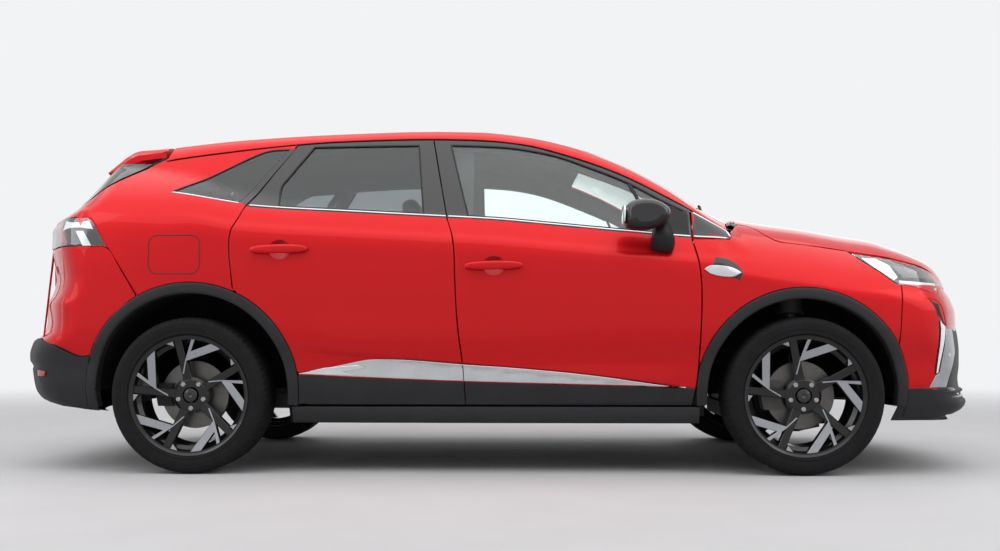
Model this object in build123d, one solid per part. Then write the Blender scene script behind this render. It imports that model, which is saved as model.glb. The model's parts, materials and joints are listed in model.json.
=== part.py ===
from build123d import *
import math
import os

os.makedirs("parts", exist_ok=True)

# ------------------------------------------------------------------ driving dimensions (mm)
# frame: +X forward, +Y left, +Z up, ground at z = 0, origin midway along the length
WHEELBASE = 2638.0
FRONT_AXLE_X = 1311.5
REAR_AXLE_X = FRONT_AXLE_X - WHEELBASE
TYRE_DIAMETER = 676.0
TYRE_WIDTH = 225.0
RIM_SEAT_DIAMETER = 482.6      # 19 inch bead seat
RIM_FLANGE_DIAMETER = 516.0
HUB_Z = TYRE_DIAMETER / 2
TYRE_OUTER_Y = 889.0
WHEEL_Y = TYRE_OUTER_Y - TYRE_WIDTH / 2

SHUT_GAP = 6.0                 # gap round every door and lid
SEAT_GAP = 0.4                 # gap between flat pieces seated on one another
SKIN_SEAT = 0.8                # gap between curved pieces seated on one another
SKIN_T = 9.0                   # outer panel with its hem
SKIN_BITE = 5.0                # how far inner structure reaches into the outer panel
DOOR_T = 72.0                  # whole door at its box
GLASS_T = 4.0
WALL_T = 60.0                  # body side, inner to outer
SILL_Z = 222.0
DOOR_BOTTOM_Z = 296.0

DOOR_HINGE_Y = 852.0
DOOR_HINGE_SETBACK = 110.0     # from the leading edge to the hinge line
DOOR_HINGE_Z = (600.0, 820.0)
HINGE_PIN_R = 5.0
HINGE_LUG_R = 10.0
HINGE_FIT = 0.4
LID_HINGE_Y = 308.0            # bonnet and tailgate hinge arms
LID_HINGE_DEPTH = 12.0         # hinge line below the skin
HINGE_SLOT = 19.0
HATCH_HINGE_X = -1534.0
BONNET_HINGE_X = 1098.0

FRONT_ARCH = (1303.0, 350.0, 449.0)   # x, z, radius of the cladding's outer edge
REAR_ARCH = (-1320.0, 358.0, 466.0)
ARCH_TRIM_W = 46.0
CLAD_T = 8.0

BOLT_PCD = 114.3
BOLT_COUNT = 5
BOLT_R = 6.5
HUB_BORE_R = 33.05

# ------------------------------------------------------------------ smooth curves and the skin


def curve(*pts):
    """Monotone cubic through the (u, v) points; straight beyond the ends."""
    pts = sorted(pts)
    us = [p[0] for p in pts]
    vs = [p[1] for p in pts]
    n = len(us)
    h = [us[i + 1] - us[i] for i in range(n - 1)]
    d = [(vs[i + 1] - vs[i]) / h[i] for i in range(n - 1)]
    m = [d[0]] + [0.0] * (n - 2) + [d[-1]]
    for i in range(1, n - 1):
        if d[i - 1] * d[i] > 0:
            w1 = 2 * h[i] + h[i - 1]
            w2 = h[i] + 2 * h[i - 1]
            m[i] = (w1 + w2) / (w1 / d[i - 1] + w2 / d[i])

    def value(u):
        if u <= us[0]:
            return vs[0] + m[0] * (u - us[0])
        if u >= us[-1]:
            return vs[-1] + m[-1] * (u - us[-1])
        i = 0
        while u > us[i + 1]:
            i += 1
        t = (u - us[i]) / h[i]
        a = vs[i] * (1 + 2 * t) * (1 - t) ** 2 + vs[i + 1] * t * t * (3 - 2 * t)
        return a + h[i] * (m[i] * t * (1 - t) ** 2 - m[i + 1] * t * t * (1 - t))

    return value


def smax(a, b, k):
    h = max(k - abs(a - b), 0.0) / k
    return max(a, b) + h * h * k / 4


def smin(a, b, k):
    return -smax(-a, -b, k)


belt_z = curve((-2206, 1240), (-1800, 1232), (-1395, 1208), (-1088, 1158), (-597, 1128),
               (-298, 1111), (0, 1094), (215, 1074), (563, 1041), (840, 1017), (1000, 1009),
               (1248, 996), (1500, 970), (1750, 930), (1930, 880), (2206, 780))
waist_half = curve((-2300, 780), (-2000, 836), (-1750, 868), (-1500, 884), (-1326, 889),
                   (-900, 886), (-300, 884), (300, 884), (900, 885), (1311, 889), (1600, 884),
                   (1800, 868), (2000, 835), (2300, 770))
tuck_low = curve((150, -95), (220, -76), (300, -42), (400, -24), (470, -22), (520, -15),
                 (570, -5), (650, 0), (1500, 0))
tuck_high = curve((-800, 0), (-350, 0), (-250, -3), (-170, -10), (-110, -23), (-60, -43),
                  (-20, -66), (0, -82), (40, -120), (100, -190), (200, -330))
glass_half = curve((-2206, 600), (-1900, 655), (-1700, 690), (-1400, 735), (-1000, 778),
                   (-600, 797), (0, 803), (800, 800), (1000, 792), (1300, 780))
roof_line = curve((-2000, 1412), (-1796, 1447), (-1501, 1489), (-1147, 1526), (-729, 1549),
                  (-306, 1560), (-95, 1556), (115, 1534), (325, 1488), (534, 1411), (743, 1306),
                  (919, 1195), (1010, 1140), (1120, 1060), (1300, 900))
bonnet_line = curve((-2206, 1390), (-1800, 1382), (-1395, 1356), (-1000, 1300), (-298, 1261),
                    (215, 1224), (563, 1191), (840, 1167), (1035, 1146),
                    (1196, 1121), (1359, 1099), (1559, 1064), (1698, 1041), (1738, 1028),
                    (1837, 992), (1928, 950), (1996, 919), (2042, 892), (2100, 840), (2200, 640))
bonnet_edge = curve((-2300, 0), (800, 0), (1000, 480), (1060, 507), (2300, 507))
nose_line = curve((180, 1800), (210, 1960), (242, 2108), (261, 2172), (283, 2200), (300, 2206),
                  (336, 2186), (405, 2172), (465, 2178), (522, 2178), (590, 2172), (634, 2164),
                  (700, 2160), (752, 2142), (806, 2112), (880, 2085), (1000, 2060))
tail_line = curve((230, -1790), (260, -1870), (293, -2100), (319, -2158), (361, -2186),
                  (446, -2200), (512, -2206), (541, -2199), (585, -2176), (616, -2146),
                  (664, -2136), (730, -2138), (791, -2108), (850, -2094), (901, -2100),
                  (988, -2111), (1059, -2109), (1109, -2088), (1141, -2042), (1176, -1993),
                  (1212, -1952), (1339, -1835), (1386, -1790), (1500, -1680))
rail_z = curve((-1700, 1350), (-1539, 1380), (-1247, 1421), (-1066, 1444), (-720, 1474),
               (-302, 1486), (-93, 1481), (115, 1459), (323, 1401), (530, 1322), (737, 1212),
               (910, 1113), (1010, 1052))


def lower_half(x, z):
    return waist_half(x) + tuck_low(z) + tuck_high(z - belt_z(x))


def upper_half(x, z):
    s = z - belt_z(x)
    if s < 0:
        return glass_half(x) + 30.0 * (1 - math.exp(0.43 * s / 30.0))
    return glass_half(x) - 0.43 * s - 0.00022 * s * s


def body_field(x, y, z):
    """Negative inside the body, positive outside."""
    a = abs(y)
    m = a / 1000.0
    nose = x - (nose_line(z) - 95.0 * (m / 0.55) ** 2.4)
    tail = (tail_line(z) + 432.0 * m ** 3.33) - x
    low = smax(a - lower_half(x, z), z - (bonnet_line(x) - bonnet_edge(x) * m ** 5), 45.0)
    low = smax(low, nose, 70.0)
    low = smax(low, tail, 60.0)
    top = smax(a - upper_half(x, z), z - (roof_line(x) - 285.0 * m ** 4), 45.0)
    top = smax(top, tail, 40.0)
    return smin(low, top, 22.0)


def root(f, lo, hi):
    """Where f turns positive between lo (inside) and hi (outside)."""
    for _ in range(34):
        mid = (lo + hi) / 2
        if f(mid) > 0:
            hi = mid
        else:
            lo = mid
    return (lo + hi) / 2


def skin_y(x, z):
    return root(lambda y: body_field(x, y, z), 200.0, 960.0)


def skin_z(x, y):
    return root(lambda z: body_field(x, y, z), 600.0, 1700.0)


def skin_rear(y, z):
    return -root(lambda u: body_field(-u, y, z), 1500.0, 2400.0)


def skin_ray(cx, angle, z):
    """Radius from (cx, 0) to the skin at a compass angle, 0 along +X."""
    c, s = math.cos(angle), math.sin(angle)
    return root(lambda r: body_field(cx + r * c, r * s, z), 200.0, 1300.0)


HATCH_HINGE_Z = skin_z(HATCH_HINGE_X, LID_HINGE_Y) - LID_HINGE_DEPTH
BONNET_HINGE_Z = skin_z(BONNET_HINGE_X, LID_HINGE_Y) - LID_HINGE_DEPTH

# ------------------------------------------------------------------ building helpers


def between(outer, inner):
    """Solid lofted through sections, each from an outer and an inner run of points."""
    n = len(outer[0])
    at = [i / (n - 1) for i in range(n)]
    wires = []
    for a, b in zip(outer, inner):
        a = [Vector(*p) for p in a]
        b = [Vector(*p) for p in b]
        wires.append(Wire([Edge.make_spline(a, parameters=at), Edge.make_line(a[-1], b[-1]),
                           Edge.make_spline(b[::-1], parameters=at),
                           Edge.make_line(b[0], a[0])]))
    return Solid.make_loft(wires)


def shifted(rows, dx, dy, dz):
    return [[(x + dx, y + dy, z + dz) for x, y, z in row] for row in rows]


def spaced(a, b, n):
    return [a + (b - a) * i / (n - 1) for i in range(n)]


def side_rows(x, z0, z1):
    """Heights from z0 to z1 at one station, closer together round the belt."""
    zb = belt_z(x)
    k = min(1.0, (z1 - zb) / 150.0)
    near = [zb + s for s in (-90, -60, -36, -16)] + [zb + k * s for s in (4, 24, 50, 85)]
    return spaced(z0, zb - 130, 9) + near + spaced(zb + k * 125, z1, 6)


def side_slab(x0, x1, nx, z0, z1, off, t, rows=0):
    """Slab lying `off` inside the left skin and `t` thick; z0, z1 may be curves of x."""
    lo = z0 if callable(z0) else (lambda x: z0)
    hi = z1 if callable(z1) else (lambda x: z1)
    cols = []
    for x in spaced(x0, x1, nx):
        zs = spaced(lo(x), hi(x), rows) if rows else side_rows(x, lo(x), hi(x))
        cols.append([(x, skin_y(x, z) - off, z) for z in zs])
    return between(cols, shifted(cols, 0, -t, 0))


def wrap_slab(cx, a0, a1, na, z0, z1, nz, off, t):
    """Slab round a body corner, swept by compass angle about (cx, 0).

    z1 may be a curve of the angle in degrees.
    """
    outer, inner = [], []
    hi = z1 if callable(z1) else (lambda a: z1)
    for ang in spaced(math.radians(a0), math.radians(a1), na):
        ro, ri = [], []
        for z in spaced(z0, hi(math.degrees(ang)), nz):
            r = skin_ray(cx, ang, z) - off
            ro.append((cx + r * math.cos(ang), r * math.sin(ang), z))
            ri.append((cx + (r - t) * math.cos(ang), (r - t) * math.sin(ang), z))
        outer.append(ro)
        inner.append(ri)
    return between(outer, inner)


def top_slab(x0, x1, nx, half, ny, off, t):
    """Slab under the upper skin; half may be a curve of x."""
    hw = half if callable(half) else (lambda x: half)
    rows = [[(x, y, skin_z(x, y) - off) for y in spaced(-hw(x), hw(x), ny)]
            for x in spaced(x0, x1, nx)]
    return between(rows, shifted(rows, 0, 0, -t))


def loop(plane, *parts):
    """Closed outline from runs: two points a line, three an arc, more a spline."""
    edges = []
    for run in parts:
        pts = [plane.from_local_coords(Vector(*p)) for p in run]
        if len(pts) == 2:
            edges.append(Edge.make_line(pts[0], pts[1]))
        elif len(pts) == 3:
            edges.append(Edge.make_three_point_arc(*pts))
        else:
            edges.append(Edge.make_spline(pts))
    return Face(Wire(edges))


SIDE = Plane(origin=(0, 0, 0), x_dir=(1, 0, 0), z_dir=(0, -1, 0))   # local (x, z)
REAR = Plane(origin=(0, 0, 0), x_dir=(0, 1, 0), z_dir=(1, 0, 0))    # local (y, z)


def side_prism(y0, y1, *parts):
    """Prism across the car between y0 and y1 from an (x, z) outline."""
    face = loop(SIDE, *parts)
    return Solid.extrude(face, Vector(0, y1 - y0, 0)).moved(Location((0, y0, 0)))


def poly_side(y0, y1, pts):
    runs = [(pts[i], pts[(i + 1) % len(pts)]) for i in range(len(pts))]
    return side_prism(y0, y1, *runs)


def rear_prism(x0, x1, *parts):
    face = loop(REAR, *parts)
    return Solid.extrude(face, Vector(x1 - x0, 0, 0)).moved(Location((x0, 0, 0)))


def plan_prism(z0, z1, *parts):
    face = loop(Plane.XY, *parts)
    return Solid.extrude(face, Vector(0, 0, z1 - z0)).moved(Location((0, 0, z0)))


def block(x0, x1, y0, y1, z0, z1):
    return Pos((x0 + x1) / 2, (y0 + y1) / 2, (z0 + z1) / 2) * Box(x1 - x0, y1 - y0, z1 - z0)


def rod(a, b, r):
    """Round bar from a to b."""
    a, b = Vector(*a), Vector(*b)
    d = b - a
    plane = Plane(origin=a, z_dir=d)
    return Solid.make_cylinder(r, d.length, plane)


def across(x, z, r, y0, y1):
    """Cylinder across the car."""
    return rod((x, y0, z), (x, y1, z), r)


def mirrored(shape):
    return shape.mirror(Plane.XZ)


def save(name, shape):
    solids = shape.solids()
    out = solids[0] if len(solids) == 1 else Compound(children=list(solids))
    out.label = name
    export_step(out, "parts/%s.step" % name)


def save_pair(name, left):
    save(name + "_left", left)
    save(name + "_right", mirrored(left))

# ------------------------------------------------------------------ shut lines and openings

DOOR_TOP_DROP = 3.0
B_LINE = [(-133, DOOR_BOTTOM_Z), (-146, 477), (-166, 634), (-178, 830), (-187, 1000), (-217, 1104)]
LEAD_LINE = [(836, DOOR_BOTTOM_Z), (856, 400), (868, 600), (873, 780), (868, 870), (857, 940),
             (843, 1004)]


def run(points, dx, dz=0.0):
    return [(x + dx, z + dz) for x, z in points]


def frame_top(xs, g):
    return [(x, rail_z(x) - DOOR_TOP_DROP + g) for x in xs]


def front_door_outline(g):
    """Shut line of the front door, grown by g."""
    lead = run(LEAD_LINE, g)
    lead[0] = (lead[0][0], DOOR_BOTTOM_Z - g)
    back = run(B_LINE, -g)[::-1]
    back[-1] = (back[-1][0], DOOR_BOTTOM_Z - g)
    top = frame_top([843 + g, 737, 530, 323, 115, -93, -291 - g], g)
    return [lead, [lead[-1], top[0]], top, [top[-1], back[0]], back, [back[-1], lead[0]]]


def rear_door_outline(g):
    """Shut line of the rear door, grown by g; the wheel arch is cut afterwards."""
    lead = run(B_LINE, g)
    lead[0] = (lead[0][0], DOOR_BOTTOM_Z - g)
    top = frame_top([-291 + g, -450, -600, -760, -905 - g], g)
    back = run([(-1098, 1160), (-1122, 1099), (-1143, 1050), (-1150, 990), (-1147, 931),
                (-1133, 800)], -g)
    foot = (-1133 - g, DOOR_BOTTOM_Z - g)
    return [lead, [lead[-1], top[0]], top, [top[-1], back[0]], back, [back[-1], foot],
            [foot, lead[0]]]


window_top = curve((868, 1118), (734, 1187), (570, 1280), (425, 1343), (219, 1416), (12, 1449),
                   (-216, 1457), (-716, 1451), (-919, 1447), (-1061, 1434))


def front_window_outline(g):
    top = [(x, window_top(x) + g) for x in (808 + g, 700, 560, 400, 219, 12, -100, -214 - g)]
    low = [(x, belt_z(x) + 16 - g) for x in (-127 - g, 200, 500, 808 + g)]
    return [top, [top[-1], low[0]], low, [low[-1], top[0]]]


def rear_window_outline(g):
    top = [(x, window_top(x) + g) for x in (-354 + g, -500, -640, -829 - g)]
    low = [(x, belt_z(x) + 16 - g) for x in (-950 - g, -700, -500, -318 + g)]
    mid = (-958 - g, 1261)
    return [top, [top[-1], mid], [mid, low[0]], low, [low[-1], top[0]]]


def quarter_window_outline(g):
    p = [(-1424 - 2 * g, 1226), (-1250, 1318 + g), (-1041, 1424 + g), (-938 + 2 * g, 1434 + g),
         (-1124 + g, 1184 - g)]
    return [[p[0], p[1]], [p[1], p[2]], [p[2], p[3]], [p[3], p[4]], [p[4], p[0]]]


HALF_GAP = SHUT_GAP / 2
DEEP = 1000.0


def arch_cut(arch, grow, y0=0.0, y1=DEEP):
    x, z, r = arch
    return across(x, z, r + grow, y0, y1)


# ------------------------------------------------------------------ doors


def door(outline, window, hinge_x, x0, x1, arch):
    """One left door: outer panel, inner box, window frame and its two hinge lugs."""
    top = lambda x: rail_z(x) + 12
    panel = side_slab(x0, x1, 14, DOOR_BOTTOM_Z - 8, top, 0, SKIN_T)
    panel &= side_prism(300, DEEP, *outline(-HALF_GAP))
    frame = side_slab(x0, x1, 14, lambda x: belt_z(x) - 30, top, SKIN_T - SKIN_BITE,
                      20 + SKIN_BITE)
    frame &= side_prism(300, DEEP, *outline(-HALF_GAP - 14))
    box = side_slab(x0, x1, 14, DOOR_BOTTOM_Z + 20, lambda x: belt_z(x) + 14, SKIN_T - SKIN_BITE,
                    DOOR_T - SKIN_T + SKIN_BITE, 18)
    box &= side_prism(300, DEEP, *outline(-HALF_GAP - 26))
    box &= block(x0, hinge_x - 20, 300, DEEP, DOOR_BOTTOM_Z + 26, belt_z(hinge_x) + 4)
    body = panel + frame + box
    for z in DOOR_HINGE_Z:
        web = block(hinge_x - HINGE_LUG_R, hinge_x + HINGE_LUG_R, DOOR_HINGE_Y, DEEP,
                    z + 0.4, z + 18)
        web &= side_slab(x0, x1, 14, DOOR_BOTTOM_Z, top, SKIN_T - SKIN_BITE, 80)
        body += web
        body += rod((hinge_x, DOOR_HINGE_Y, z + 0.4), (hinge_x, DOOR_HINGE_Y, z + 18),
                    HINGE_LUG_R)
    for z in DOOR_HINGE_Z:
        body -= rod((hinge_x, DOOR_HINGE_Y, z - 5), (hinge_x, DOOR_HINGE_Y, z + 30),
                    HINGE_PIN_R + HINGE_FIT)
    body -= side_prism(300, DEEP, *window(0))
    if arch:
        body -= arch_cut(arch, 6 + HALF_GAP)
        body -= arch_cut(arch, 40, 0, 850)
    return body


def glass(window, x0, x1):
    pane = side_slab(x0, x1, 12, lambda x: belt_z(x) + 4, lambda x: rail_z(x) + 4, 2.0, GLASS_T, 16)
    return pane & side_prism(300, DEEP, *window(-SKIN_SEAT))


FRONT_HINGE_X = 872 - DOOR_HINGE_SETBACK
REAR_HINGE_X = -178 - DOOR_HINGE_SETBACK

front_door = door(front_door_outline, front_window_outline, FRONT_HINGE_X, -310, 890, None)
rear_door = door(rear_door_outline, rear_window_outline, REAR_HINGE_X, -1165, -100, REAR_ARCH)
save_pair("front_door", front_door)
save_pair("rear_door", rear_door)
save_pair("front_door_glass", glass(front_window_outline, -240, 830))
save_pair("rear_door_glass", glass(rear_window_outline, -980, -290))

# ------------------------------------------------------------------ door mirror
MIRROR_X = 640.0
MIRROR_Y = 1001.5
arm = loop(SIDE, [(600, 965), (690, 965)], [(690, 965), (672, 1075)], [(672, 1075), (618, 1075)],
           [(618, 1075), (600, 965)])
arm = Solid.extrude(arm, Vector(0, 70, 0)).moved(Location((0, 850, 0)))
arm -= side_slab(560, 740, 6, 930, 1005, -SEAT_GAP, 200, 6)
arm -= side_slab(560, 740, 6, 1000, 1110, -9, 300, 8)
shell = Pos(MIRROR_X + 8, 922, 1128) * Box(128, 2 * (MIRROR_Y - 922), 148)
shell = fillet(shell.edges(), 34)
shell -= Pos(MIRROR_X - 58, 922, 1130) * Box(22, 126, 108)
mirror_plate = Pos(MIRROR_X - 50, 922, 1130) * Box(5, 122, 104)
save_pair("mirror", arm + shell + mirror_plate)

# ------------------------------------------------------------------ body side
ROOF_T = 20.0
POST_OUT_Y = 708.0
DOOR_TOE_GAP = 7.0          # the open rear door's lower front corner swings over the post
SILL_IN_Y = 700.0
TUB_IN_Y = 492.0
TUB_T = 8.0
TUB_OUT_Y = 850.0
over_roof = top_slab(-1760, 1060, 18, 690, 25, -90, 90 + ROOF_T + SKIN_SEAT)

sill = side_slab(-900, 880, 14, SILL_Z, DOOR_BOTTOM_Z - SHUT_GAP + 1, CLAD_T + SKIN_SEAT, 260, 6)
sill &= block(-900, 868, SILL_IN_Y, DEEP, 0, 2000)
sill -= arch_cut(REAR_ARCH, -ARCH_TRIM_W)
sill += block(-880, 868, SILL_IN_Y - 90, SILL_IN_Y + 6, 236, 345)
posts = block(700, 856, SILL_IN_Y - 80, POST_OUT_Y, 240, 972)
posts += block(840, 960, SILL_IN_Y - 80, POST_OUT_Y, 890, 1040)
corner_pane = side_slab(842, 1030, 5, 995, lambda x: rail_z(x) + 4, 0, 80, 8)
posts += corner_pane & poly_side(300, DEEP, [(849, 1016), (849, 1142), (1006, 1050), (1010, 1016)])
posts += block(-250, -110, SILL_IN_Y - 80, POST_OUT_Y, 240, 1130)
posts -= block(-252, -225, POST_OUT_Y - DOOR_TOE_GAP, DEEP, 240, 480)
b_top = side_slab(-270, -90, 6, 1080, lambda x: rail_z(x) - 10, 62, 34, 12)
posts += b_top & block(-250, -110, 300, DEEP, 1080, 1600)
cant = side_slab(-1600, 880, 15, lambda x: rail_z(x) - 52, lambda x: rail_z(x) + 12, 46, 52, 7)
cant -= over_roof

wall = side_slab(-1850, -800, 13, SILL_Z, lambda x: min(rail_z(x) + 12, 1500), 0, WALL_T)
q = [(-905, SILL_Z), (-905, 1700), (-1506, 1700), (-1506, 1394), (-1546, 1372), (-1822, 1184),
     (-1850, 1176), (-1850, 1113), (-1828, 1113), (-1749, 984), (-1676, 977), (-1622, 892),
     (-1551, 776), (-1551, 600), (-1320, 358), (-1320, SILL_Z)]
wall &= poly_side(300, DEEP, q)
wall -= side_prism(300, DEEP, *rear_door_outline(HALF_GAP)) - arch_cut(REAR_ARCH, 6 - HALF_GAP)
wall -= over_roof
wall -= side_prism(300, DEEP, *quarter_window_outline(0))
wall -= block(-936, -900, 300, DEEP, SILL_Z - 10, 530)      # the arch's ring has this corner
corner = wrap_slab(-1500, 108, 152, 14, 1113, 1178, 5, 0, 50)
corner &= block(-2300, -1840, 600, DEEP, 1113.4, 1178)
ring = side_slab(-1850, -820, 13, 300, 860, 0, WALL_T, 14) & arch_cut(REAR_ARCH, 6 - HALF_GAP)
ring &= poly_side(300, DEEP, [(-1320, 300), (-820, 300), (-820, 900), (-1551, 900), (-1551, 600),
                              (-1320, 358)])
tub = arch_cut(REAR_ARCH, -ARCH_TRIM_W + TUB_T, TUB_IN_Y, TUB_OUT_Y)
tub -= arch_cut(REAR_ARCH, -ARCH_TRIM_W, TUB_IN_Y + TUB_T, 900)
tub &= block(-1850, -800, TUB_IN_Y, TUB_OUT_Y, 360, 900)
side = sill + posts + cant + wall + corner + ring + tub
side -= arch_cut(REAR_ARCH, -ARCH_TRIM_W, TUB_IN_Y + TUB_T, DEEP)
for hx in (FRONT_HINGE_X, REAR_HINGE_X):
    for z in DOOR_HINGE_Z:
        reach = POST_OUT_Y - 6
        if hx == REAR_HINGE_X:
            side += block(hx - 9, -200, reach - 30, POST_OUT_Y, z - 14, z)
        side += block(hx - 9, hx + 9, reach - 30, DOOR_HINGE_Y, z - 14, z)
        side += rod((hx, DOOR_HINGE_Y, z - 14), (hx, DOOR_HINGE_Y, z), HINGE_LUG_R - 1)
        side += rod((hx, DOOR_HINGE_Y, z - 14), (hx, DOOR_HINGE_Y, z + 17), HINGE_PIN_R)
save_pair("body_side", side)

# ------------------------------------------------------------------ cladding
clad = side_slab(-1800, -790, 16, 300, 860, -CLAD_T - SKIN_SEAT, CLAD_T, 14)
clad &= arch_cut(REAR_ARCH, 0) - arch_cut(REAR_ARCH, -ARCH_TRIM_W)
clad &= poly_side(300, DEEP, [(-1320, 300), (-820, 300), (-820, 900), (-1700, 900),
                              (-1548, 640), (-1320, 358)])
sill_clad = side_slab(-900, 880, 14, SILL_Z, DOOR_BOTTOM_Z - SHUT_GAP, 0, CLAD_T, 6)
sill_clad -= arch_cut(REAR_ARCH, -ARCH_TRIM_W)
save_pair("sill_cladding", clad + sill_clad)

# ------------------------------------------------------------------ roof and fixed glass
ROOF_REAR_X = -1506.0
SCREEN_TOP_X = 385.0
SCREEN_BASE_X = 1012.0
SCREEN_CORNER = 4.0            # the glass draws in by this at its lower corners
drip_y = lambda x: skin_y(x, rail_z(x)) + 0.0
screen_half = curve((300, 560), (385, 566), (700, 600), (1012, 655), (1100, 670))
roof = top_slab(-1520, 1016, 20, 680, 25, 0, ROOF_T)
edge = [(x, drip_y(x)) for x in (ROOF_REAR_X, -1300, -1000, -600, -200, 150, 450, 750, 1010)]
roof &= plan_prism(900, 1700, edge, [edge[-1], (1010, -edge[-1][1])],
                   [(x, -y) for x, y in edge[::-1]], [(ROOF_REAR_X, -edge[0][1]), edge[0]])
glass_edge = [(x, screen_half(x)) for x in (SCREEN_TOP_X, 600, 800, 1060)]
screen_hole = [glass_edge, [glass_edge[-1], (1060, -glass_edge[-1][1])],
               [(x, -y) for x, y in glass_edge[::-1]],
               [(SCREEN_TOP_X, -glass_edge[0][1]), (SCREEN_TOP_X + 22, 0), glass_edge[0]]]
roof -= plan_prism(700, 1700, *screen_hole)
skirt = [(x, rail_z(x)) for x in spaced(-1560, 1060, 14)]
roof -= side_prism(-DEEP, DEEP, skirt, [skirt[-1], (1060, 600)], [(1060, 600), (-1560, 600)],
                   [(-1560, 600), skirt[0]])
for y in (-LID_HINGE_Y, LID_HINGE_Y):
    roof += block(HATCH_HINGE_X, ROOF_REAR_X + 30, y - 8, y + 8, HATCH_HINGE_Z - 10,
                  HATCH_HINGE_Z + 9)
    roof += across(HATCH_HINGE_X, HATCH_HINGE_Z, 10, y - 8, y + 8)
    roof += across(HATCH_HINGE_X, HATCH_HINGE_Z, HINGE_PIN_R, y - 26, y + 26)
save("roof_panel", roof)

inner = [(x, screen_half(x) - SKIN_SEAT) for x in (SCREEN_TOP_X + SKIN_SEAT, 600, 800, 1008)]
inner[-1] = (inner[-1][0], inner[-1][1] - SCREEN_CORNER)
screen = top_slab(340, 1050, 18, 672, 21, 2, 6)
screen &= plan_prism(700, 1700, inner, [inner[-1], (1030, 0)], [(1030, 0), (1008, -inner[-1][1])],
                     [(x, -y) for x, y in inner[::-1]],
                     [(inner[0][0], -inner[0][1]), (SCREEN_TOP_X + 22 + SKIN_SEAT, 0), inner[0]])
pane = side_slab(-1460, -880, 12, lambda x: belt_z(x) - 20, lambda x: rail_z(x) + 8, 2, GLASS_T, 14)
pane &= side_prism(300, DEEP, *quarter_window_outline(-SKIN_SEAT))
save("fixed_glass", Compound(children=[screen, pane, mirrored(pane)]))

# ------------------------------------------------------------------ front wings and bonnet
bonnet_shut_z = curve((1030, 1096), (1090, 1090), (1136, 1074), (1176, 1040), (1219, 1010),
                      (1248, 1001), (1378, 986), (1500, 968), (1607, 951), (1751, 926),
                      (1840, 903), (1930, 869), (2060, 815))


def bonnet_half(x):
    return root(lambda y: bonnet_shut_z(x) - skin_z(x, y), 300.0, 860.0)


wing_top = [(x, bonnet_shut_z(x) - HALF_GAP) for x in (1100, 1136, 1176, 1219, 1248, 1378, 1460,
                                                       1532)]
lead = run(LEAD_LINE, HALF_GAP)
wing = side_slab(830, 1790, 18, 300, lambda x: min(bonnet_shut_z(x) + 4, 1092), 0, SKIN_T, 22)
wing_front = [(1532, 958), (1566, 929), (1609, 892), (1652, 860), (1692, 823), (1722, 810)]
wing &= side_prism(300, DEEP, lead, [lead[-1], (850, 1012)], [(850, 1012), (1014, 1012)],
                   [(1014, 1012), (1020, 1046)], [(1020, 1046), (1066, 1089)],
                   [(1066, 1089), wing_top[0]], wing_top,
                   [wing_top[-1], wing_front[0]], wing_front, [wing_front[-1], (1706, 560)],
                   [(1706, 560), (1600, 300)], [(1600, 300), lead[0]])
wing -= arch_cut(FRONT_ARCH, -ARCH_TRIM_W)
WING_RAIL_Y = 740.0
shelf = side_slab(1040, 1500, 8, 850, 930, SKIN_T - 1, 260, 6)
shelf &= block(1060, 1470, WING_RAIL_Y + SEAT_GAP, DEEP, 884, 892)
liner = arch_cut(FRONT_ARCH, 2, 662, 846) - arch_cut(FRONT_ARCH, -6, 600, 900)
liner &= block(800, 1720, 662, 846, 420, 900)
lip = side_slab(860, 1760, 14, 420, 860, SKIN_T - 1, 50, 12)
lip &= arch_cut(FRONT_ARCH, 2) - arch_cut(FRONT_ARCH, -6)
lip &= block(800, 1700, 300, DEEP, 420, 900)
BONNET_T = 22.0
BONNET_CLEAR = 6.0


def bonnet_plan(g):
    """Prism over the bonnet's plan outline, grown by g."""
    rim = [(x, bonnet_half(x) - HALF_GAP + g) for x in (1064, 1120, 1180, 1240, 1400, 1600, 1800)]
    rim.append((1890, bonnet_half(1890) - HALF_GAP + g))
    rim[0] = (rim[0][0] - g, rim[0][1])
    nose = [rim[-1], (1975 + g, 640 + g), (2022 + g, 480), (2044 + g, 300), (2052 + g, 0)]
    nose += [(x, -y) for x, y in nose[-2::-1]]
    back = [(rim[0][0], -rim[0][1]), (rim[0][0] + 20, 0), rim[0]]
    return plan_prism(700, 1500, rim, nose, [(x, -y) for x, y in rim[::-1]], back)


def bonnet_skin(off, t):
    return top_slab(1030, 2070, 22, lambda x: min(846.0, bonnet_half(x) + 30), 23, off, t)


bonnet = bonnet_skin(0, BONNET_T) & bonnet_plan(0)
under_bonnet = bonnet_skin(-90, 90 + BONNET_T + BONNET_CLEAR) & bonnet_plan(SHUT_GAP)
wing -= under_bonnet
save_pair("front_wing", wing + shelf + liner + lip)

front_clad = side_slab(830, 1770, 15, 296, 830, -CLAD_T - SKIN_SEAT, CLAD_T, 14)
front_clad &= arch_cut(FRONT_ARCH, 0) - arch_cut(FRONT_ARCH, -ARCH_TRIM_W)
front_clad &= poly_side(300, DEEP, [(1303, 300), (820, 300), (820, 900), (1690, 900),
                                    (1694, 560), (1650, 400), (1303, 350)])
save_pair("front_arch_trim", front_clad)


# ------------------------------------------------------------------ front end
bumper = wrap_slab(1400, -74, 74, 37, 232, 812, 34, 0, 12)
notch = poly_side(-DEEP, DEEP, [(1000, 232), (1694, 232), (1742, 375), (1709, 560), (1726, 812),
                                (1726, 1000), (1000, 1000)])
bumper -= notch
bumper -= under_bonnet
upper_mouth = [(-470, 752), (-430, 575), (430, 575), (470, 752)]
lower_mouth = [(-560, 470), (-500, 330), (500, 330), (560, 470)]


def poly_rear(x0, x1, pts):
    runs = [(pts[i], pts[(i + 1) % len(pts)]) for i in range(len(pts))]
    return rear_prism(x0, x1, *runs)


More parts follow.
